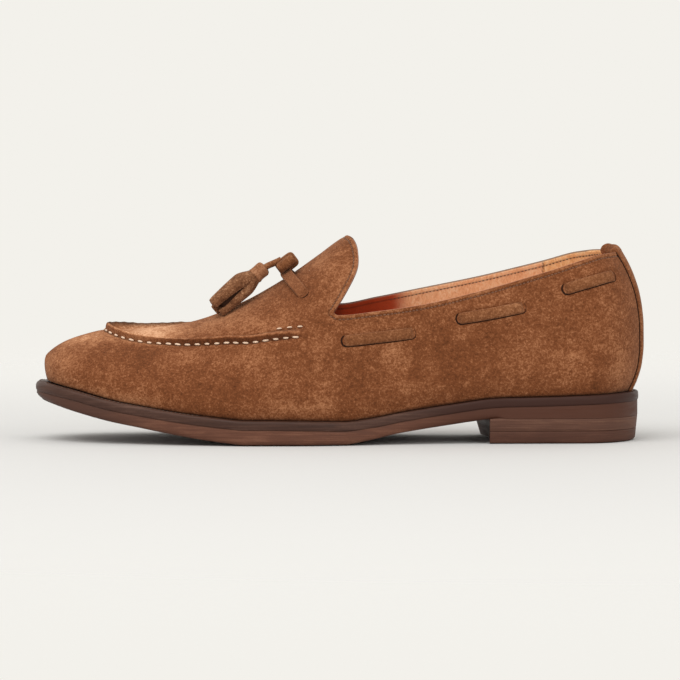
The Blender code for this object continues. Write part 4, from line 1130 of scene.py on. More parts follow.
inner_rows = np.concatenate([np.arange(0, SEAM_ROW, 2), np.arange(SEAM_ROW, ROWS, 2)])
if inner_rows[-1] != ROWS - 1:
    inner_rows = np.append(inner_rows, ROWS - 1)
inner = base[inner_rows] - normals[inner_rows] * WALL
inner[0, :, 2] = base[0, :, 2]
lining_grid = np.concatenate([inner, lining_rim[::-1]])
lining_quads = grid_quads(len(lining_grid), COLUMNS, wrap=True, flip=True)
lining_piece = make_mesh("upper_lining", lining_grid, lining_quads, lining)
extra = len(lining_rim)
# Where the lining gets its painted shade, deep inside the front
front = 1 - smooth((lining_grid[..., 0] + 0.084) / 0.012)
paint(lining_piece, "front", front)
cut = np.zeros(lining_grid.shape[:2])
cut[-extra:] = 0.8
paint(lining_piece, "cut", cut)
# Dark seam lines of the lining, and painted shade at the throat
seams_and_throat_shade = 0.55 * np.nan_to_num(stripe(np.abs(edge_off[inner_rows]), 0.0021, 0.0006), nan=0.0)
seams_and_throat_shade += 0.75 * stripe(inner[..., 0], -0.0079, 0.0006)
# Painted shade on the lining at the throat
seams_and_throat_shade += 0.55 * stripe(inner[..., 0], place(THROAT), 0.007)
seams_and_throat_shade = np.concatenate([seams_and_throat_shade, np.zeros((extra, COLUMNS))])
paint(lining_piece, "shade", np.clip(seams_and_throat_shade, 0, 1))
add(lining_piece, "lining", "upper")


# Sole and heel, each with its real edge
SOLE_SAMPLES = 900
SOLE_EDGE_STEPS = 260
HEEL_EDGE_STEPS = 150
BREAST_STEPS = 36
BREAST_SLANT = 0.30      # how far the far corner draws back on its way to the floor
HEEL_SEAT_START = 0.752  # behind this share the outsole's lower edge is square, on the heel


def sole_side(side, reach_share, extra, first=0.0):
    """Plan outline of one side from toe to heel as (at, x, distance from the axis)."""
    at = first + (1 - first) * (1 - np.cos(math.pi * np.linspace(0, 1, SOLE_SAMPLES + 1))) / 2
    along, away = outline_normal(at, side)
    tuck = section_curves["tuck"](at) * BALL_WIDTH
    offset = section_curves["reach"](at) * BALL_WIDTH * reach_share - tuck + extra
    back = smooth((at - HEEL_CURVE_START) / (1 - HEEL_CURVE_START))
    foot = heel_curve(edge_height(at) / TONGUE_HEIGHT) * BALL_WIDTH - tuck
    x = place(at) + along * offset - np.maximum(foot, 0.0) * back
    across = np.maximum(half_width(at, side) + away * offset, 0.0)
    return np.stack([at, x, across], axis=1)


def even(samples, steps):
    """The outline again, at even distances."""
    lengths = running(samples[:, 1:])
    return pick(samples, lengths, np.linspace(0, lengths[-1], steps + 1))


def sole_loop(reach_share, extra):
    """(at, x, y) once around from the toe, the lateral side first."""
    lateral = even(sole_side("lateral", reach_share, extra), SOLE_EDGE_STEPS)
    medial = even(sole_side("medial", reach_share, extra), SOLE_EDGE_STEPS)
    lateral[:, 2] *= -1
    return np.concatenate([lateral, medial[::-1][1:-1]])


def shrunk(loop, share):
    """The loop drawn in towards the middle between each point and the one across."""
    across = loop[(-np.arange(len(loop))) % len(loop)]
    middle = (loop + across) / 2
    made = middle + (loop - middle) * share
    made[:, 0] = loop[:, 0]
    return made


def loft(name, rings, finish, flip=False):
    """A closed form through rings of points."""
    rings = np.stack(rings)
    return make_mesh(name, rings, grid_quads(len(rings), rings.shape[1], wrap=True, flip=flip), finish)


def nose(at):
    """1 at the tip of the toe, gone a little way back."""
    return 1 - smooth(at / 0.05)


def plate(name, reach_share, extra, top, bottom, edge, finish, squared=False):
    """A plate whose edge follows rows of outward step, drop from the top or rise from the
    bottom, and how far it draws back at the tip of the toe."""
    rings = []
    loops = {step: sole_loop(reach_share, extra + step) for step in {e[0] for e in edge}}

    def ring(loop, level, drawn=0.0):
        rings.append(np.stack([loop[:, 1] + drawn * nose(loop[:, 0]), loop[:, 2], level], axis=1))

    for share in (0.0, 0.35, 0.7, 0.9):
        loop = shrunk(loops[edge[0][0]], share)
        ring(loop, top(loop[:, 0]) - edge[0][1])
    for step, drop, from_top, drawn in edge:
        loop = loops[step]
        level = top(loop[:, 0]) - drop if from_top else bottom(loop[:, 0]) + drop
        if squared and not from_top:
            seat = smooth((loop[:, 0] - HEEL_SEAT_START) / 0.02)[:, None]
            loop = loop + (loops[max(loops)] - loop) * seat * (step > -0.002)
            level = level - drop * 0.9 * seat[:, 0]
        ring(loop, level, drawn)
    for share in (0.97, 0.9, 0.75, 0.5, 0.25, 0.0):
        loop = shrunk(loops[edge[-1][0]], share)
        ring(loop, bottom(loop[:, 0]) + edge[-1][1] * smooth((share - 0.9) / 0.1))
    return loft(name, rings, finish)


def welt_top(at):
    """Upper side of the welt, a clearance under the upper."""
    return edge_height(at) - CLEARANCE


def welt_bottom(at):
    return edge_height(at) - WELT_THICKNESS


def sole_top(at):
    return welt_bottom(at) - CLEARANCE


def insole_bottom(at):
    """Lower side of the insole, a clearance over the welt."""
    return edge_height(at) + CLEARANCE


def insole_top(at):
    return insole_bottom(at) + INSOLE_THICKNESS


# Edges: step outwards, drop from the top or rise from the bottom, which of these it is, and
# how far the edge draws back at the tip of the toe
WELT_EDGE = (
    (-0.0032, 0.00000, True, 0.0),
    (-0.0028, 0.00030, True, 0.0),
    (-0.0024, 0.00005, True, 0.0),
    (-0.0012, 0.00000, True, 0.0010),
    (-0.0006, 0.00015, True, 0.0010),
    (-0.00022, 0.0005, True, 0.0007),
    (-0.00003, 0.0011, True, 0.0003),
    (0.00005, 0.0020, True, 0.0),
    (0.00005, 0.0031, True, 0.0),
    (0.0, 0.0039, True, 0.0),
    (-0.00010, 0.00425, True, 0.0),
    (-0.00035, 0.0045, True, 0.0),
    (-0.0012, 0.0000, False, 0.0),
)
SOLE_EDGE = (
    (-0.0012, -0.00020, True, 0.0),
    (-0.00022, -0.00020, True, 0.0),
    (-0.00008, 0.00012, True, 0.0),
    (0.0, 0.0006, True, 0.0),
    (0.00002, 0.0016, True, 0.0),
    (0.00002, 0.0030, False, 0.0001),
    (-0.00010, 0.0020, False, 0.0005),
    (-0.00045, 0.0011, False, 0.0011),
    (-0.0012, 0.0005, False, 0.0016),
    (-0.0026, 0.00012, False, 0.0020),
)
add(plate("welt_strip", 1.0, 0.0, welt_top, welt_bottom, WELT_EDGE, welt_finish), "welt", "welt")
outsole = plate("outsole_leather", 1.0, -EDGE_STEP, sole_top, tread_height, SOLE_EDGE, sole_finish,
                squared=True)
add(outsole, "sole", "outsole")


def heel_loop(extra, height):
    """Outline of the heel: lateral side, back, medial side, breast."""
    drawn = BREAST_SLANT * (SEAT - height)
    first = share_at(BREAST_MEDIAL) - 0.05
    sides = []
    for side, breast in (("lateral", BREAST_LATERAL), ("medial", BREAST_MEDIAL + drawn)):
        samples = sole_side(side, 1.0, extra, first)
        k = int(np.argmax(samples[:, 1] > breast))
        t = (breast - samples[k - 1, 1]) / (samples[k, 1] - samples[k - 1, 1])
        start = samples[k - 1] + (samples[k] - samples[k - 1]) * t
        line = even(np.concatenate([start[None], samples[k:]]), HEEL_EDGE_STEPS)[:, 1:]
        if side == "lateral":
            line[:, 1] *= -1
            sides.append(line)
        else:
            sides.append(line[::-1][1:])
    loop = np.concatenate(sides)
    t = np.linspace(0, 1, BREAST_STEPS + 1)[1:-1]
    breast_line = loop[-1] + (loop[0] - loop[-1]) * t[:, None]
    breast_line[:, 0] += BREAST_HOLLOW * 4 * t * (1 - t)
    return np.concatenate([loop, breast_line])


def heel_block(name, levels, finish):
    """A block of the heel from (height, inward step) pairs, top to bottom, with closed ends."""
    rings = []
    for number, (height, inward) in enumerate(levels):
        loop = heel_loop(-EDGE_STEP - inward, height)
        under = np.minimum(tread_height(share_at(loop[:, 0])) - SEAT, 0.0)
        level = height + under * np.clip((height - TOP_PIECE_HEIGHT) / HEEL_LIFT_HEIGHT, 0, 1)
        shares = (1.0,)
        if number == 0:
            shares = (0.0, 0.6, 1.0)
        elif number == len(levels) - 1:
            shares = (1.0, 0.9, 0.5, 0.0)
        rings += [np.concatenate([loop * share, level[:, None]], axis=1) for share in shares]
    return loft(name, rings, finish)


def taper(height):
    """How far the heel has drawn in at this height."""
    return HEEL_TAPER * (1 - height / SEAT)


LIFT_LEVELS = [(SEAT + 0.00045, 0.0010), (SEAT + 0.00020, 0.00040), (SEAT - 0.0005, taper(SEAT - 0.0005))]
for height in (0.0110, 0.0095, 0.0080, TOP_PIECE_HEIGHT + 0.00050):
    LIFT_LEVELS.append((height, taper(height)))
LIFT_LEVELS.append((TOP_PIECE_HEIGHT + 0.00022, taper(0.006) + 0.00014))
LIFT_LEVELS.append((TOP_PIECE_HEIGHT + 0.00018, taper(0.006) + 0.0009))
add(heel_block("heel_stack", LIFT_LEVELS, lift_finish), "heel", "heel_lift")
TOP_LEVELS = [
    (TOP_PIECE_HEIGHT + 0.00016, taper(0.0058) + 0.0009),
    (TOP_PIECE_HEIGHT + 0.00010, taper(0.0058) + 0.00016),
    (TOP_PIECE_HEIGHT - 0.0003, taper(0.0055)),
    (0.0036, taper(0.0036)),
    (0.0021, taper(0.0021)),
]
for degrees in (0, 20, 40, 60, 80):
    s, c = math.sin(math.radians(degrees)), math.cos(math.radians(degrees))
    TOP_LEVELS.append((HEEL_EDGE_ROUND * (1 - s), taper(0.0016 * (1 - s)) + HEEL_EDGE_ROUND * (1 - c)))
TOP_LEVELS.append((0.0, HEEL_TAPER + HEEL_EDGE_ROUND))
add(heel_block("heel_top", TOP_LEVELS, top_finish), "top_piece", "heel_top_piece")

# Insole, and the leather pad on its heel half
insole_finish = Finish("insole_sock", 0.5, specular=0.35)
grain = insole_finish.cells(0.0008)
clouds = insole_finish.noise(0.015, 3.0, 0.6)
insole_finish.bump(grain, 0.0002, 0.5)
colour = insole_finish.ramp(clouds, (0.3, (0.46, 0.19, 0.09)), (0.7, (0.62, 0.29, 0.15)))
insole_leather = insole_finish.done(colour)

INSOLE_EDGE = (
    (-0.0010, 0.0, True, 0.0),
    (-0.0004, 0.0002, True, 0.0),
    (0.0, 0.0008, True, 0.0),
    (0.0, 0.0006, False, 0.0),
    (-0.0006, 0.0, False, 0.0),
)
insole = plate("insole_sock", 0.0, -WALL - 2 * CLEARANCE, insole_top, insole_bottom, INSOLE_EDGE,
               insole_leather)
add(insole, "lining", "insole")

PAD_INSET = 0.0035       # from the wall
PAD_FRONT = 0.52         # share of LAST_LENGTH
PAD_NOSE = 0.016         # how far its rounded front stands out


def pad_loop(inset):
    """Outline of the heel pad, with a rounded front end."""
    halves = []
    for side, sign in (("lateral", -1), ("medial", 1)):
        line = sole_side(side, 0.0, -WALL - PAD_INSET - inset)
        line = even(line[line[:, 0] > PAD_FRONT], 90)
        line[:, 2] *= sign
        halves.append(line)
    near_end, far_end = halves[0][0], halves[1][0]
    t = np.linspace(0, 1, 31)[1:-1]
    cap = far_end + (near_end - far_end) * t[:, None]
    cap[:, 1] -= PAD_NOSE * np.sin(math.pi * t)
    cap[:, 0] = share_at(cap[:, 1])
    return np.concatenate([halves[0], halves[1][::-1][1:], cap])


rings = []
pad_middle = np.array([-0.045, 0.0])
for inset, height, share in ((0.0, 0.0002, 1.0), (0.0, 0.0006, 1.0), (0.0003, 0.0010, 1.0),
                             (0.0009, 0.0012, 1.0), (0.0009, 0.0012, 0.8), (0.0009, 0.0012, 0.5),
                             (0.0009, 0.0012, 0.0)):
    xy = pad_middle + (pad_loop(inset)[:, 1:] - pad_middle) * share
    level = insole_top(share_at(xy[:, 0])) + height
    rings.append(np.concatenate([xy, level[:, None]], axis=1))
add(loft("heel_pad", rings, insole_leather, flip=True), "lining")


# Stitches are short, fat capsules of thread
FINE_THREAD = 0.00026


def capsules(name, spots, ways, lengths, radius, finish, flat, outs=None):
    """One mesh of capsules with their middles at spots, along ways."""
    around, rows = 8, 7
    batch = Batch()
    for number, (spot, way, length) in enumerate(zip(spots, ways, lengths)):
        way = unit(way)
        out = outs[number] if outs is not None else np.array([0.0, 0.0, 1.0])
        side_way = unit(np.cross(out, way))
        out = np.cross(way, side_way)
        grid = np.zeros((rows, around, 3))
        for r in range(rows):
            t = -math.cos(math.pi * r / (rows - 1))
            size = math.sqrt(max(1 - abs(t) ** 2.6, 0.0004)) * radius
            sag = -0.35 * radius * t ** 2
            for a in range(around):
                turn = 2 * math.pi * a / around
                grid[r, a] = (spot + way * t * length / 2 + side_way * math.cos(turn) * size
                              + out * (math.sin(turn) * size * flat + sag))
        batch.put(grid)
    return batch.mesh(name, finish)


def along_line(line, runs, off=0.0, out=0.0):
    """Points beside a Line, with the ways along it, out of the skin and to its upper side."""
    index = np.clip(np.searchsorted(line.lengths, runs), 1, len(line.lengths) - 2)
    ways = unit(line.places[index + 1] - line.places[index - 1])
    spots = line.places[index] + line.sides[index] * off + line.normals[index] * out
    return spots, ways, line.normals[index], line.sides[index]


# The apron's cream stitches, and three at each end of a second row inside it
total = seam_line.lengths[-1]
upto = len(seam_line.at) // 2
first = float(np.interp(APRON_END - 0.0005, seam_line.at[:upto][::-1], seam_line.lengths[:upto][::-1]))
last = total - first
count = int((last - first) / STITCH_PITCH)
runs = first + (np.arange(count + 1)) * (last - first) / count
spots, ways, outs, sides = along_line(seam_line, runs, off=-0.00005, out=0.00025)
jitter = RNG.normal(0, 1, (len(runs), 3))
ways = ways + sides * (0.10 + 0.05 * jitter[:, :1])
lengths = 0.0029 + 0.00025 * jitter[:, 1]
add(capsules("apron_stitches", spots, ways, lengths, 0.00052, cream_thread, 0.9, outs * 0.75 - sides * 0.65),
    "suede")
inner_runs = np.concatenate([runs[:3] - 0.0020, runs[-3:] + 0.0020])
spots, ways, outs, sides = along_line(seam_line, inner_runs, off=0.0056, out=0.00020)
add(capsules("apron_stitches_inner", spots, ways, np.full(len(spots), 0.0026), 0.00045, cream_thread, 0.9,
             outs * 0.8 + sides * 0.5), "suede")

# Fine stitching along the tongue and the collar, outside and inside
COLLAR_PITCH = 0.0018
LINING_STITCH_FRONT = -0.085
runs = np.arange(0.0015, edge_line.lengths[-1] - 0.0010, COLLAR_PITCH)
spots, ways, outs, sides = along_line(edge_line, runs, off=-0.0020, out=-0.00015)
jitter = RNG.normal(0, 1, len(runs))
add(capsules("collar_stitches", spots, ways + 0.12 * sides, 0.00122 + 0.00008 * jitter, FINE_THREAD,
             tan_thread, 0.8, outs), "suede")
spots, ways, outs, sides = along_line(edge_line, runs + COLLAR_PITCH / 2, off=-0.0021, out=-WALL - 0.00005)
open_part = spots[:, 0] > LINING_STITCH_FRONT
add(capsules("lining_stitches", spots[open_part], ways[open_part], np.full(open_part.sum(), 0.0011),
             0.00024, dark_thread, 0.8, -outs[open_part]), "lining")


SLOT_DIP = 0.0030        # length in which a thong dips into its slot


def ribbon(name, line, width, thickness, finish, slack, crown=0.25, lines=0.0):
    """A flat thong along a Line that goes into a slot at each end."""
    across_steps = 17
    length = line.lengths[-1]
    runs = length * (1 - np.cos(math.pi * np.linspace(0, 1, 91))) / 2
    spots, _, outs, sides = along_line(line, runs)
    profile = [(-1.0, -0.35)]
    for k in range(across_steps + 1):
        turn = math.pi * (k / across_steps)
        c = math.cos(turn)
        profile.append((-math.copysign(abs(c) ** 0.55, c), abs(math.sin(turn)) ** 0.6))
    profile.append((1.0, -0.35))
    grid = np.zeros((len(runs), len(profile), 3))
    for i, run in enumerate(runs):
        gap = min(run, length - run)
        round_end = max(0.0, 1 - gap / (width * 0.42))
        half = width / 2 * max(math.sqrt(max(1 - round_end ** 2.4, 0.0)), 0.10)
        sink = float(smooth(1 - gap / SLOT_DIP))
        sag = slack * math.sin(math.pi * run / length)
        for k, (u, v) in enumerate(profile):
            top = thickness * (0.78 + crown * (1 - u * u)) * v
            level = (top + lines * stripe(abs(u), 0.80, 0.22) + sag) * (1 - sink) - 0.0007 * sink
            grid[i, k] = spots[i] + sides[i] * half * u + outs[i] * (level - 0.0001)
    return make_mesh(name, grid, grid_quads(len(grid), grid.shape[1], flip=True), finish)


for name, line in thong_lines:
    add(ribbon(name + "_strip", line, THONG_WIDTH, THONG_THICKNESS, suede_thong, slack=0.0003), "thong", name)


# Stitches on the welt's top, which show round the toe
WELT_PITCH = 0.0021
loop = sole_loop(1.0, -0.0020)
loop = np.concatenate([loop[-80:], loop[:80]])
loop = loop[loop[:, 0] < 0.30]
lengths = running(loop[:, 1:])
picked = pick(loop, lengths, np.arange(0.001, lengths[-1] - 0.001, WELT_PITCH))
spots = np.stack([picked[:, 1], picked[:, 2], welt_top(picked[:, 0]) + 0.00004], axis=1)
ways = np.gradient(spots, axis=0)
add(capsules("welt_stitches", spots, ways, np.full(len(spots), 0.00125), FINE_THREAD, welt_thread, 0.8),
    "welt")


# The strap over the vamp, the bow, the thong's ends and the tassels
def full_strap():
    """The strap's line from its lateral slot over the crest to its medial slot."""
    at, angle = strap_path(400)
    near, far = (surface(at, angle, side) for side in SIDES)
    near_out, far_out = (skin_normal(at, np.minimum(angle, CREST_ANGLE - 0.011), side) for side in SIDES)
    places = np.concatenate([near[::-1], far[1:]])
    outs = np.concatenate([near_out[::-1], far_out[1:]])
    sides = unit(np.cross(np.gradient(places, axis=0), outs))
    made = Line(places, -sides if sides[:, 0].mean() < 0 else sides)
    made.normals = outs
    return made


strap_line = full_strap()
add(ribbon("strap", strap_line, STRAP_WIDTH, STRAP_THICKNESS, suede_strip, slack=0.0021, crown=0.10,
           lines=0.00034), "thong", "front_strap")

slope = math.radians(BOW_SLOPE)
BOW_NORMAL = np.array([-math.sin(slope), 0.0, math.cos(slope)])
UP_SLOPE = np.array([math.cos(slope), 0.0, math.sin(slope)])
ACROSS = np.array([0.0, 1.0, 0.0])
crest_spot = surface(STRAP_AT, CREST_ANGLE, "lateral")
knot_half = BOW_HEIGHT / 2 * BOW_PINCH + CLEARANCE + KNOT_WALL
BOW_CENTRE = (crest_spot + BOW_NORMAL * (SEAT_GAP + STRAP_THICKNESS + max(knot_half, BOW_HEIGHT / 2))
              + UP_SLOPE * BOW_SHIFT)


def band(path, ways, width, thickness, swell, closed=False):
    """A leather band along a flat path: ways is its width's direction, its edges are rounded."""
    if closed:
        ahead = np.roll(path, -1, axis=0) - np.roll(path, 1, axis=0)
    else:
        ahead = np.gradient(path, axis=0)
    out = unit(np.cross(unit(ahead), ways))
    around = 28
    rings = []
    for a in range(around):
        turn = 2 * math.pi * a / around
        c, s = math.cos(turn), math.sin(turn)
        u = math.copysign(abs(c) ** 0.35, c)
        v = math.copysign(abs(s) ** 0.8, s)
        belly = 1 + swell * (1 - u * u)
        rings.append(path + ways * (width / 2 * u) + out * (thickness / 2 * v * belly))
    rings = np.stack(rings, axis=1)
    return np.concatenate([rings, rings[:1]]) if closed else rings


LOOP_END = 0.72          # share of its reach where a loop of the bow begins to close


def loop_height(share):
    """Half height of a loop at a share of its reach."""
    knot = (KNOT_WIDTH / 2 + CLEARANCE) / BOW_REACH
    pinch = BOW_PINCH + (1 - BOW_PINCH) * smooth((share - knot) / 0.35)
    end = np.sqrt(np.maximum(0.0, 1 - np.maximum(0.0, (share - LOOP_END) / (1 - LOOP_END)) ** 2))
    return BOW_HEIGHT / 2 * pinch * end


batch = Batch()
closing = np.sin(np.linspace(0.05, 1, 26) * math.pi / 2)
share = np.concatenate([np.linspace(0.0, LOOP_END, 40), LOOP_END + (1 - LOOP_END) * closing])
top_half = np.stack([share * BOW_REACH, loop_height(share)], axis=1)
outline = np.concatenate([top_half, (top_half * (1, -1))[::-1][1:]])
ahead = unit(np.gradient(outline, axis=0))
flat = outline + np.stack([ahead[:, 1], -ahead[:, 0]], axis=1) * BOW_WALL / 2
flat[:, 0] = np.maximum(flat[:, 0], 0.0)
for sign in (-1, 1):
    path = BOW_CENTRE + ACROSS * (sign * flat[:, :1]) + BOW_NORMAL * flat[:, 1:]
    ways = np.tile(UP_SLOPE, (len(path), 1))
    batch.put(band(path, ways, BOW_DEPTH + 0.0009, BOW_WALL, 0.12), flip=sign > 0)
add(batch.mesh("bow_ribbon", suede_thong), "thong", "bow_loops")

turn = np.linspace(0, 2 * math.pi, 96, endpoint=False)
half_depth = BOW_DEPTH / 2 + KNOT_WALL / 2 - 0.0003
half_height = BOW_HEIGHT / 2 * BOW_PINCH + CLEARANCE + KNOT_WALL / 2
x = np.copysign(np.abs(np.cos(turn)) ** 0.35, np.cos(turn)) * half_depth
y = np.copysign(np.abs(np.sin(turn)) ** 0.35, np.sin(turn)) * half_height
y = np.where(y < 0, y * 1.32, y)
path = BOW_CENTRE + UP_SLOPE * x[:, None] + BOW_NORMAL * y[:, None]
batch = Batch()
batch.put(band(path, np.tile(ACROSS, (len(path), 1)), KNOT_WIDTH, KNOT_WALL, 0.35, closed=True))
add(batch.mesh("bow_knot_band", suede_thong), "thong", "bow_knot")


def tassel_axes(sign):
    """The tassel's axis, the way across it and the way out of its face."""
    down = math.radians(TASSEL_SLOPE)
    splay = math.radians(TASSEL_SPLAY) * sign
    level = np.array([-math.cos(splay), math.sin(splay), 0.0])
    along = level * math.cos(down) + np.array([0, 0, -math.sin(down)])
    across = unit(np.cross([0, 0, 1], level))
    outward = np.cross(along, across)
    return along, across, outward if outward[2] > 0 else -outward


def vamp_height(x, across, side):
    """Height of the vamp above a point of the floor."""
    at = share_at(x)
    share = np.minimum(np.abs(across) / half_width(at, side), 1.0)
    return surface(at, np.arccos(share), side)[..., 2]


def tassel_place(sign):
    """Top of a tassel, seated on the vamp by its fringe."""
    along, across, outward = tassel_axes(sign)
    top = BOW_CENTRE * (1, 0, 0) + np.array([-TASSEL_AHEAD, TASSEL_APART * sign, 0.0])
    side = "medial" if sign > 0 else "lateral"
    worst = -1.0
    for share in np.linspace(0.0, 1.0, 24):
        reach = FRINGE_HALF_DEPTH * FRINGE_UNDERSIDE if share > 0.3 else HEAD_RADIUS
        for u in np.linspace(-1, 1, 9):
            spot = top + along * (HEAD_LENGTH + FRINGE_LENGTH) * share
            spot = spot - outward * reach * math.sqrt(1 - u * u * 0.96)
            spot = spot + across * u * FRINGE_HALF_WIDTH * (0.7 if share < 0.3 else 1.0)
            worst = max(worst, float(vamp_height(spot[0], spot[1], side)) - spot[2])
    return top + np.array([0, 0, worst + SEAT_GAP])


# Binding of a tassel: share of HEAD_LENGTH, share of HEAD_RADIUS
HEAD = (
    (-0.02, 0.16), (0.0, 0.40), (0.02, 0.70), (0.07, 0.90), (0.16, 0.985), (0.30, 1.0), (0.55, 1.0),
    (0.76, 1.0), (0.86, 0.985), (0.90, 1.045), (0.97, 1.06), (1.03, 1.01), (1.05, 0.88), (1.03, 0.70),
)
# Strips of the fringe: how much longer than the rest, how far each bends and parts (degrees),
# how much of its width it loses, and how much of the depth is left where it rests
STRIPS = (
    (0.0004, 0.10, 17, 0.42, FRINGE_UNDERSIDE),
    (-0.0003, -0.14, 0, 0.29, FRINGE_UNDERSIDE),
    (0.0006, 0.05, 0, 0.29, FRINGE_UNDERSIDE),
    (-0.0005, -0.08, 0, 0.29, FRINGE_UNDERSIDE),
    (0.0002, 0.12, -22, 0.42, 0.84),
)
FIRST_STRIP = 38         # degrees round the tassel
ROOT_RADIUS = HEAD_RADIUS * 0.92


def opened(t):
    """How far the fringe has opened at a share of its length."""
    return float(smooth(0.12 + t * 2.6))


def tassel_head(name, top, along, ring_way, turn, sign):
    """The binding, with a seam down one side and faint creases."""
    run = np.mod(turn - 0.9, 2 * math.pi)
    seam = smooth(run / 0.35) * 0.00028 - 0.00028 * run / (2 * math.pi)
    rings = []
    for share, radius in HEAD:
        crease = 0.00014 * np.sin(turn * 3 + share * 5 + sign)
        size = HEAD_RADIUS * radius + (seam + crease) * min(radius, 1.0)
        rings.append(top + along * HEAD_LENGTH * share + ring_way * size[:, None])
    return loft(name, rings, suede_head)


def fringe_strip(number, top, along, near, outward):
    """One strip of the fringe as a grid of rings with a closed end."""
    longer, bend, part, narrow, rest = STRIPS[number]
    section = np.linspace(0, 2 * math.pi, 26, endpoint=False)
    u = np.copysign(np.abs(np.cos(section)) ** 0.62, np.cos(section))
    v = np.copysign(np.abs(np.sin(section)) ** 0.80, np.sin(section))
    grid = []
    for t in np.linspace(0, 1, 34):
        belly = FRINGE_BULGE * 0.9 * math.sin(math.pi * t ** 0.75)
        wide = ROOT_RADIUS + (FRINGE_HALF_WIDTH - ROOT_RADIUS) * opened(t) + belly
        deep = ROOT_RADIUS + (FRINGE_HALF_DEPTH - ROOT_RADIUS) * opened(t) + belly
        turn = math.radians(FIRST_STRIP + 360 / FRINGE_STRIPS * number) + bend * t * t * 0.5
        turn += math.radians(part) * float(smooth(t / 0.45))
        c, s = math.cos(turn), math.sin(turn)
        if s < 0:
            deep *= 1 - (1 - rest) * opened(t) * min(1.0, -s * 1.6)
        else:
            deep *= 1 + 0.12 * opened(t) * s
        radial = near * c * wide + outward * s * deep
        reach = np.linalg.norm(radial)
        radial /= reach
        side_way = unit(np.cross(along, radial))
        thick = reach * (0.34 - 0.06 * t)
        half = math.pi * reach / FRINGE_STRIPS * (1.05 - narrow * float(smooth(t * 1.15)))
        distance = HEAD_LENGTH * 0.9 + (FRINGE_LENGTH + HEAD_LENGTH * 0.1 + longer) * t
        centre = top + along * distance + radial * (reach - thick)
        curl = -0.16 * thick * u * u
        grid.append(centre + side_way * (half * u)[:, None] + radial * (thick * v + curl * 2.2)[:, None])
    end = grid[-1]
    middle = end.mean(axis=0)
    for share, ahead in ((0.93, 0.00040), (0.72, 0.00046), (0.02, 0.00042)):
        grid.append(middle + (end - middle) * share + along * ahead)
    return np.stack(grid)


def thong_end(name, top, along, sign):
    """The round thong from the knot to a tassel's top."""
    start = BOW_CENTRE - UP_SLOPE * 0.0012 + BOW_NORMAL * (BOW_HEIGHT / 2 + 0.0001)
    start[1] = sign * (KNOT_WIDTH / 2 + END_DIAMETER / 2 - 0.0002)
    end = top + along * 0.0008
    reach = np.linalg.norm(end - start) * 0.42
    t = np.linspace(0, 1, 40)[:, None]
    first_pull = start + (BOW_NORMAL * 0.16 - UP_SLOPE) * reach
    second_pull = end - along * reach * 0.62
    path = (start * (1 - t) ** 3 + first_pull * 3 * t * (1 - t) ** 2
            + second_pull * 3 * t * t * (1 - t) + end * t ** 3)
    ahead = unit(np.gradient(path, axis=0))
    flat_way = unit(np.cross(ahead, BOW_NORMAL))
    other = np.cross(flat_way, ahead)
    turn = np.linspace(0, 2 * math.pi, 20, endpoint=False)
    rings = np.stack([path + flat_way * math.cos(a) * END_DIAMETER * 0.56
                      + other * math.sin(a) * END_DIAMETER * 0.58 for a in turn], axis=1)
    return loft(name, rings, suede_thong, flip=True)


def tassel(side, sign):
    """A tassel and the thong end it hangs from."""
    along, across, outward = tassel_axes(sign)
    top = tassel_place(sign)
    near = -across if (across[1] > 0) == (sign < 0) else across
    turn = np.linspace(0, 2 * math.pi, 64, endpoint=False)
    ring_way = near * np.cos(turn)[:, None] + outward * np.sin(turn)[:, None]
    node = f"tassel_{side}"
    add(tassel_head(node + "_head", top, along, ring_way, turn, sign), "thong", node)

    # A near-black core inside the fringe: painted shade seen between its strips
    shade_core = []
    for t in np.linspace(0.05, 0.93, 12):
        size = HEAD_RADIUS * 0.55 + (FRINGE_HALF_WIDTH - HEAD_RADIUS) * 0.75 * opened(t)
        sunk = outward * -0.0004 * opened(t)
        shade_core.append(top + along * (HEAD_LENGTH * 0.9 + FRINGE_LENGTH * t) + sunk + ring_way * size)
    shade_core.append(shade_core[-1] * 0.02 + shade_core[-1].mean(axis=0) * 0.98)
    add(loft(node + "_core", shade_core, painted_shade_dark), "thong", node)

    batch = Batch()
    for number in range(FRINGE_STRIPS):
        batch.put(fringe_strip(number, top, along, near, outward))
    add(batch.mesh(node + "_fringe", suede_tassel), "thong", node)
    add(thong_end(f"thong_end_{side}_strip", top, along, sign), "thong", f"thong_end_{side}")


tassel("lateral", -1)
tassel("medial", 1)


# Painted shade in the slots that the thongs go through, and a painted shadow line under each thong
def shade_tube(batch, spots, outs, sizes):
    """A flat dark tube of painted shade through spots, with its own size at each."""
    ring = np.linspace(0, 2 * math.pi, 8, endpoint=False)
    side_way = np.cross(outs, unit(np.gradient(spots, axis=0)))
    batch.put(spots[:, None] + side_way[:, None] * (np.cos(ring)[None, :, None] * sizes[:, None, None])
              + outs[:, None] * (np.sin(ring)[None, :, None] * sizes[:, None, None] * 0.7))


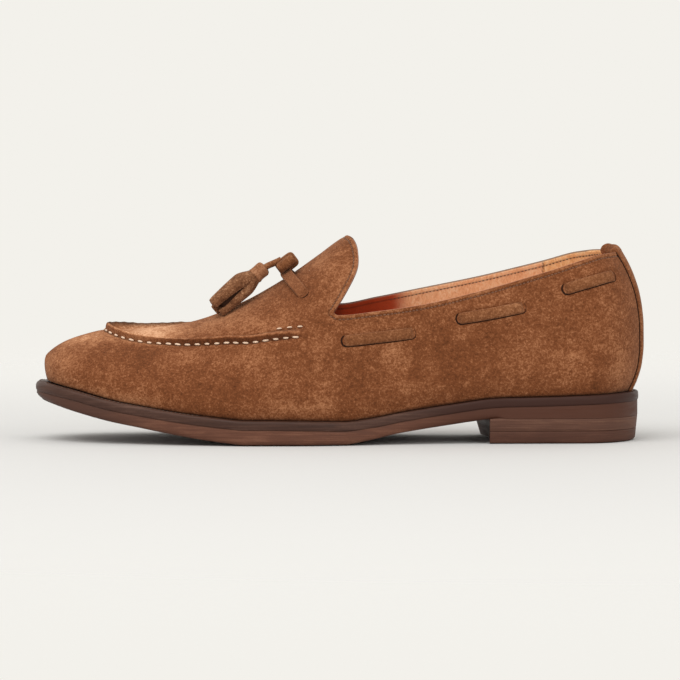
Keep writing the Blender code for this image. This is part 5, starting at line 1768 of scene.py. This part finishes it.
def thong_shadow_line(batch, line):
    """A painted shadow line round a thong's front end, along its lower edge and round its back end."""
    total = line.lengths[-1]
    reach = THONG_WIDTH / 2 + 0.00005
    turn_in = THONG_WIDTH * 0.40
    front = np.radians(np.linspace(72, -90, 26))
    back = np.radians(np.linspace(-90, 46, 22))
    middle = np.linspace(turn_in, total - turn_in, 60)[1:-1]
    runs = np.concatenate([turn_in - np.cos(front) * reach * 0.92, middle,
                           total - turn_in + np.cos(back) * reach * 0.92])
    offs = np.concatenate([np.sin(front) * reach, np.full(len(middle), -reach), np.sin(back) * reach])
    spots, _, outs, sides = along_line(line, np.clip(runs, 0, total))
    beyond = np.where(runs < 0, runs, np.where(runs > total, runs - total, 0.0))
    way = unit(line.places[-1] - line.places[0])
    spots = spots + sides * offs[:, None] + way * beyond[:, None] - outs * 0.00005
    share = np.linspace(0, 1, len(runs))
    fading = 1 - 0.75 * smooth((share - 0.62) / 0.38)
    shade_tube(batch, spots, outs, 0.00046 * np.sqrt(np.clip(share / 0.06, 0.04, 1)) * fading)


def strap_slot(batch, run, way):
    """The short cut where the strap goes in, drawn as painted shade."""
    angle = np.radians(np.linspace(-58, 58, 18))
    reach = STRAP_WIDTH / 2
    spot, ahead, out, side_way = along_line(strap_line, np.array([run - way * STRAP_WIDTH * 0.40]))
    spots = (spot + ahead * way * (np.cos(angle) * reach * 0.95)[:, None]
             + side_way * (np.sin(angle) * reach)[:, None])
    sizes = 0.00026 * np.sqrt(np.maximum(np.cos(angle * 1.5), 0.03))
    shade_tube(batch, spots, np.repeat(out, len(angle), axis=0), sizes)


# One mesh of painted shade: the slots and the shadow lines under the thongs
batch = Batch()
for name, line in thong_lines:
    thong_shadow_line(batch, line)
strap_slot(batch, 0.0, -1)
strap_slot(batch, strap_line.lengths[-1], 1)
add(batch.mesh("slots", painted_shade_dark), "thong")


# Backstay: up the back of the heel and folded over the collar
def heel_points(across, height):
    """Points of the upper's heel at distances across from the centre line."""
    across = np.asarray(across, dtype=float)
    low = np.full(across.shape, HEEL_CURVE_START)
    high = np.ones(across.shape)
    medial = (across > 0)[..., None]

    def reach_of(at):
        angle = angle_at_height(at, height)
        return np.where(medial, surface(at, angle, "medial"), surface(at, angle, "lateral"))

    for _ in range(26):
        middle = (low + high) / 2
        outside = np.abs(reach_of(middle)[..., 1]) > np.abs(across)
        low = np.where(outside, middle, low)
        high = np.where(outside, high, middle)
    spot = reach_of(high)
    spot[..., 1] = across
    return spot


STITCH_ROW = 0.77        # share of the backstay's half width where its stitches lie
BACKSTAY_PITCH = 0.0020
rim = float(collar_curves["lateral"](1.0)) * TONGUE_HEIGHT
foot_level = float(edge_height(1.0)) + 0.0001
# Profile across the backstay: place from edge to edge, height as a share of its thickness
edge_places = [0.95, 0.98, 0.995, 1.0, 1.0]
edge_rise = [1.0, 0.90, 0.68, 0.35, -0.15]
u = np.concatenate([-np.array(edge_places[::-1]), np.linspace(-0.90, 0.90, 37), edge_places])
rise_u = np.array(edge_rise[::-1] + [1.0] * 37 + edge_rise)
rise_u = rise_u + 0.10 * stripe(np.abs(u), 0.90, 0.08) - 0.22 * stripe(np.abs(u), STITCH_ROW, 0.045)


def heel_frame(across, height, step=0.0006):
    """Points of the heel with the ways out of it and up along it."""
    spot = heel_points(across, height)
    sideways = heel_points(across + step, height) - heel_points(across - step, height)
    upwards = heel_points(across, height + step) - heel_points(across, height - step)
    return spot, unit(np.cross(sideways, upwards)), unit(upwards)


def strip_half(levels):
    """Half width of the backstay at these heights."""
    return BACKSTAY_HALF_WIDTH * (1.0 + 0.10 * smooth((0.045 - levels) / 0.03))


def heel_rows(levels, widen=0.0):
    """Rows across the heel; widen spreads them on the medial side."""
    levels = np.asarray(levels, dtype=float)[:, None]
    spread = np.broadcast_to(np.asarray(widen, dtype=float), (len(levels),))[:, None]
    across = u * strip_half(levels) * np.where(u > 0, 1 + spread, 1.0)
    return heel_frame(across, np.broadcast_to(levels, across.shape))


FOLD_SPREAD = 0.55       # how much wider the fold is inside, on the medial side
height_u = (BACKSTAY_THICKNESS * 1.15 * rise_u)[None, :, None]
spot, out, up = heel_rows(np.linspace(foot_level, rim, 100))
outside = spot + out * height_u
turn = np.radians(np.linspace(12, 168, 16))
spot, out, up = heel_rows(np.full(len(turn), rim), FOLD_SPREAD * smooth(np.linspace(0, 1, len(turn))))
roll = BACKSTAY_THICKNESS + BACKSTAY_TOP_ROLL + 0.0016 * smooth((u + 0.3) / 0.7)
top_reach = (roll * np.maximum(rise_u, 0.0) + 0.0002)[None, :, None]
fold = (spot - out * WALL / 2 + out * np.cos(turn)[:, None, None] * (WALL / 2 + height_u)
        + up * np.sin(turn)[:, None, None] * top_reach)
levels = np.linspace(rim - 0.0006, rim - BACKSTAY_FOLD, 16)
spot, out, up = heel_rows(levels, FOLD_SPREAD)
end = 1 - 0.9 * smooth((rim - BACKSTAY_FOLD - levels + 0.0008) / 0.0008)
inside = spot - out * (WALL + BACKSTAY_THICKNESS * rise_u[None, :, None] * end[:, None, None])
grid = np.concatenate([outside, fold, inside])
backstay = make_mesh("backstay_strip", grid, grid_quads(len(grid), len(u)), suede_strip)
add(backstay, "suede", "backstay")

levels = np.arange(foot_level + 0.002, rim - 0.0005, BACKSTAY_PITCH)
batch = Batch()
spots, ways, outs = [], [], []
edge_levels = np.linspace(foot_level + 0.0004, rim - 0.0002, 90)
for sign in (-1, 1):
    spot, out, up = heel_frame(sign * STITCH_ROW * strip_half(levels), levels)
    spots.append(spot + out * BACKSTAY_THICKNESS * 0.92)
    ways.append(up)
    outs.append(out)
    # A painted shade line along each edge of the strip
    spot, out, up = heel_frame(sign * (strip_half(edge_levels) + 0.00022), edge_levels)
    shade_tube(batch, spot + out * 0.00012, out, np.full(len(edge_levels), 0.00040))
add(capsules("backstay_stitches", np.concatenate(spots), np.concatenate(ways),
             np.full(2 * len(levels), 0.0014), FINE_THREAD, dark_thread, 0.8, np.concatenate(outs)), "suede")
add(batch.mesh("backstay_edge_shade", painted_shade_dark), "suede")

# Floor, light and camera
floor_finish = Finish("floor", 0.85, specular=0.2)
distance = floor_finish.nodes.new("ShaderNodeVectorMath")
distance.operation = "LENGTH"
floor_finish.links.new(floor_finish.spot, distance.inputs[0])
# The floor is painted paler further back: painted light that evens out the key light's falloff
far_end = floor_finish.range(floor_finish.along("Y"), 0.0, 0.9)
floor_finish.feed(floor_finish.shader.inputs["Base Color"],
                  floor_finish.mix(far_end, (0.61, 0.61, 0.61), (0.78, 0.78, 0.78)))
fading = floor_finish.range(distance.outputs["Value"], 0.24, 1.00)
clear = floor_finish.nodes.new("ShaderNodeBsdfTransparent")
blend_node = floor_finish.nodes.new("ShaderNodeMixShader")
floor_finish.links.new(fading, blend_node.inputs[0])
floor_finish.links.new(floor_finish.shader.outputs[0], blend_node.inputs[1])
floor_finish.links.new(clear.outputs[0], blend_node.inputs[2])
output = next(n for n in floor_finish.nodes if n.type == "OUTPUT_MATERIAL")
floor_finish.links.new(blend_node.outputs[0], output.inputs["Surface"])
bpy.ops.mesh.primitive_plane_add(size=5.0, location=(0, 0, -0.0002))
floor = bpy.context.object
floor.name = "floor"
floor.data.materials.append(floor_finish.made)

world = bpy.data.worlds.new("studio")
bpy.context.scene.world = world
world.use_nodes = True
backdrop = world.node_tree.nodes["Background"]
backdrop.inputs["Color"].default_value = (0.896, 0.879, 0.831, 1.0)
backdrop.inputs["Strength"].default_value = 1.0


def area_light(name, location, target, size, energy, colour):
    """A round soft light that looks at a point."""
    lamp = bpy.data.lights.new(name, "AREA")
    lamp.shape = "DISK"
    lamp.size = size
    lamp.energy = energy
    lamp.color = colour
    holder = bpy.data.objects.new(name, lamp)
    holder.location = location
    holder.rotation_euler = (Vector(target) - Vector(location)).to_track_quat("-Z", "Y").to_euler()
    bpy.context.scene.collection.objects.link(holder)


area_light("key", (-1.0, -1.4, 2.4), (-0.1, 0.0, 0.04), 2.5, 46.0, (1.0, 0.985, 0.965))
area_light("fill", (1.2, -1.8, 0.9), (-0.1, 0.0, 0.05), 1.4, 11.0, (1.0, 0.98, 0.96))

lens = bpy.data.cameras.new("camera")
lens.sensor_width = 36.0
lens.lens = 256.7
lens.clip_end = 50.0
camera = bpy.data.objects.new("camera", lens)
camera.location = (-0.1093, -2.3967, 0.1744)
camera.rotation_euler = (math.radians(87.0), 0.0, 0.0)
bpy.context.scene.collection.objects.link(camera)
bpy.context.scene.camera = camera
bpy.context.scene.view_settings.view_transform = "Standard"
bpy.context.scene.view_settings.look = "None"
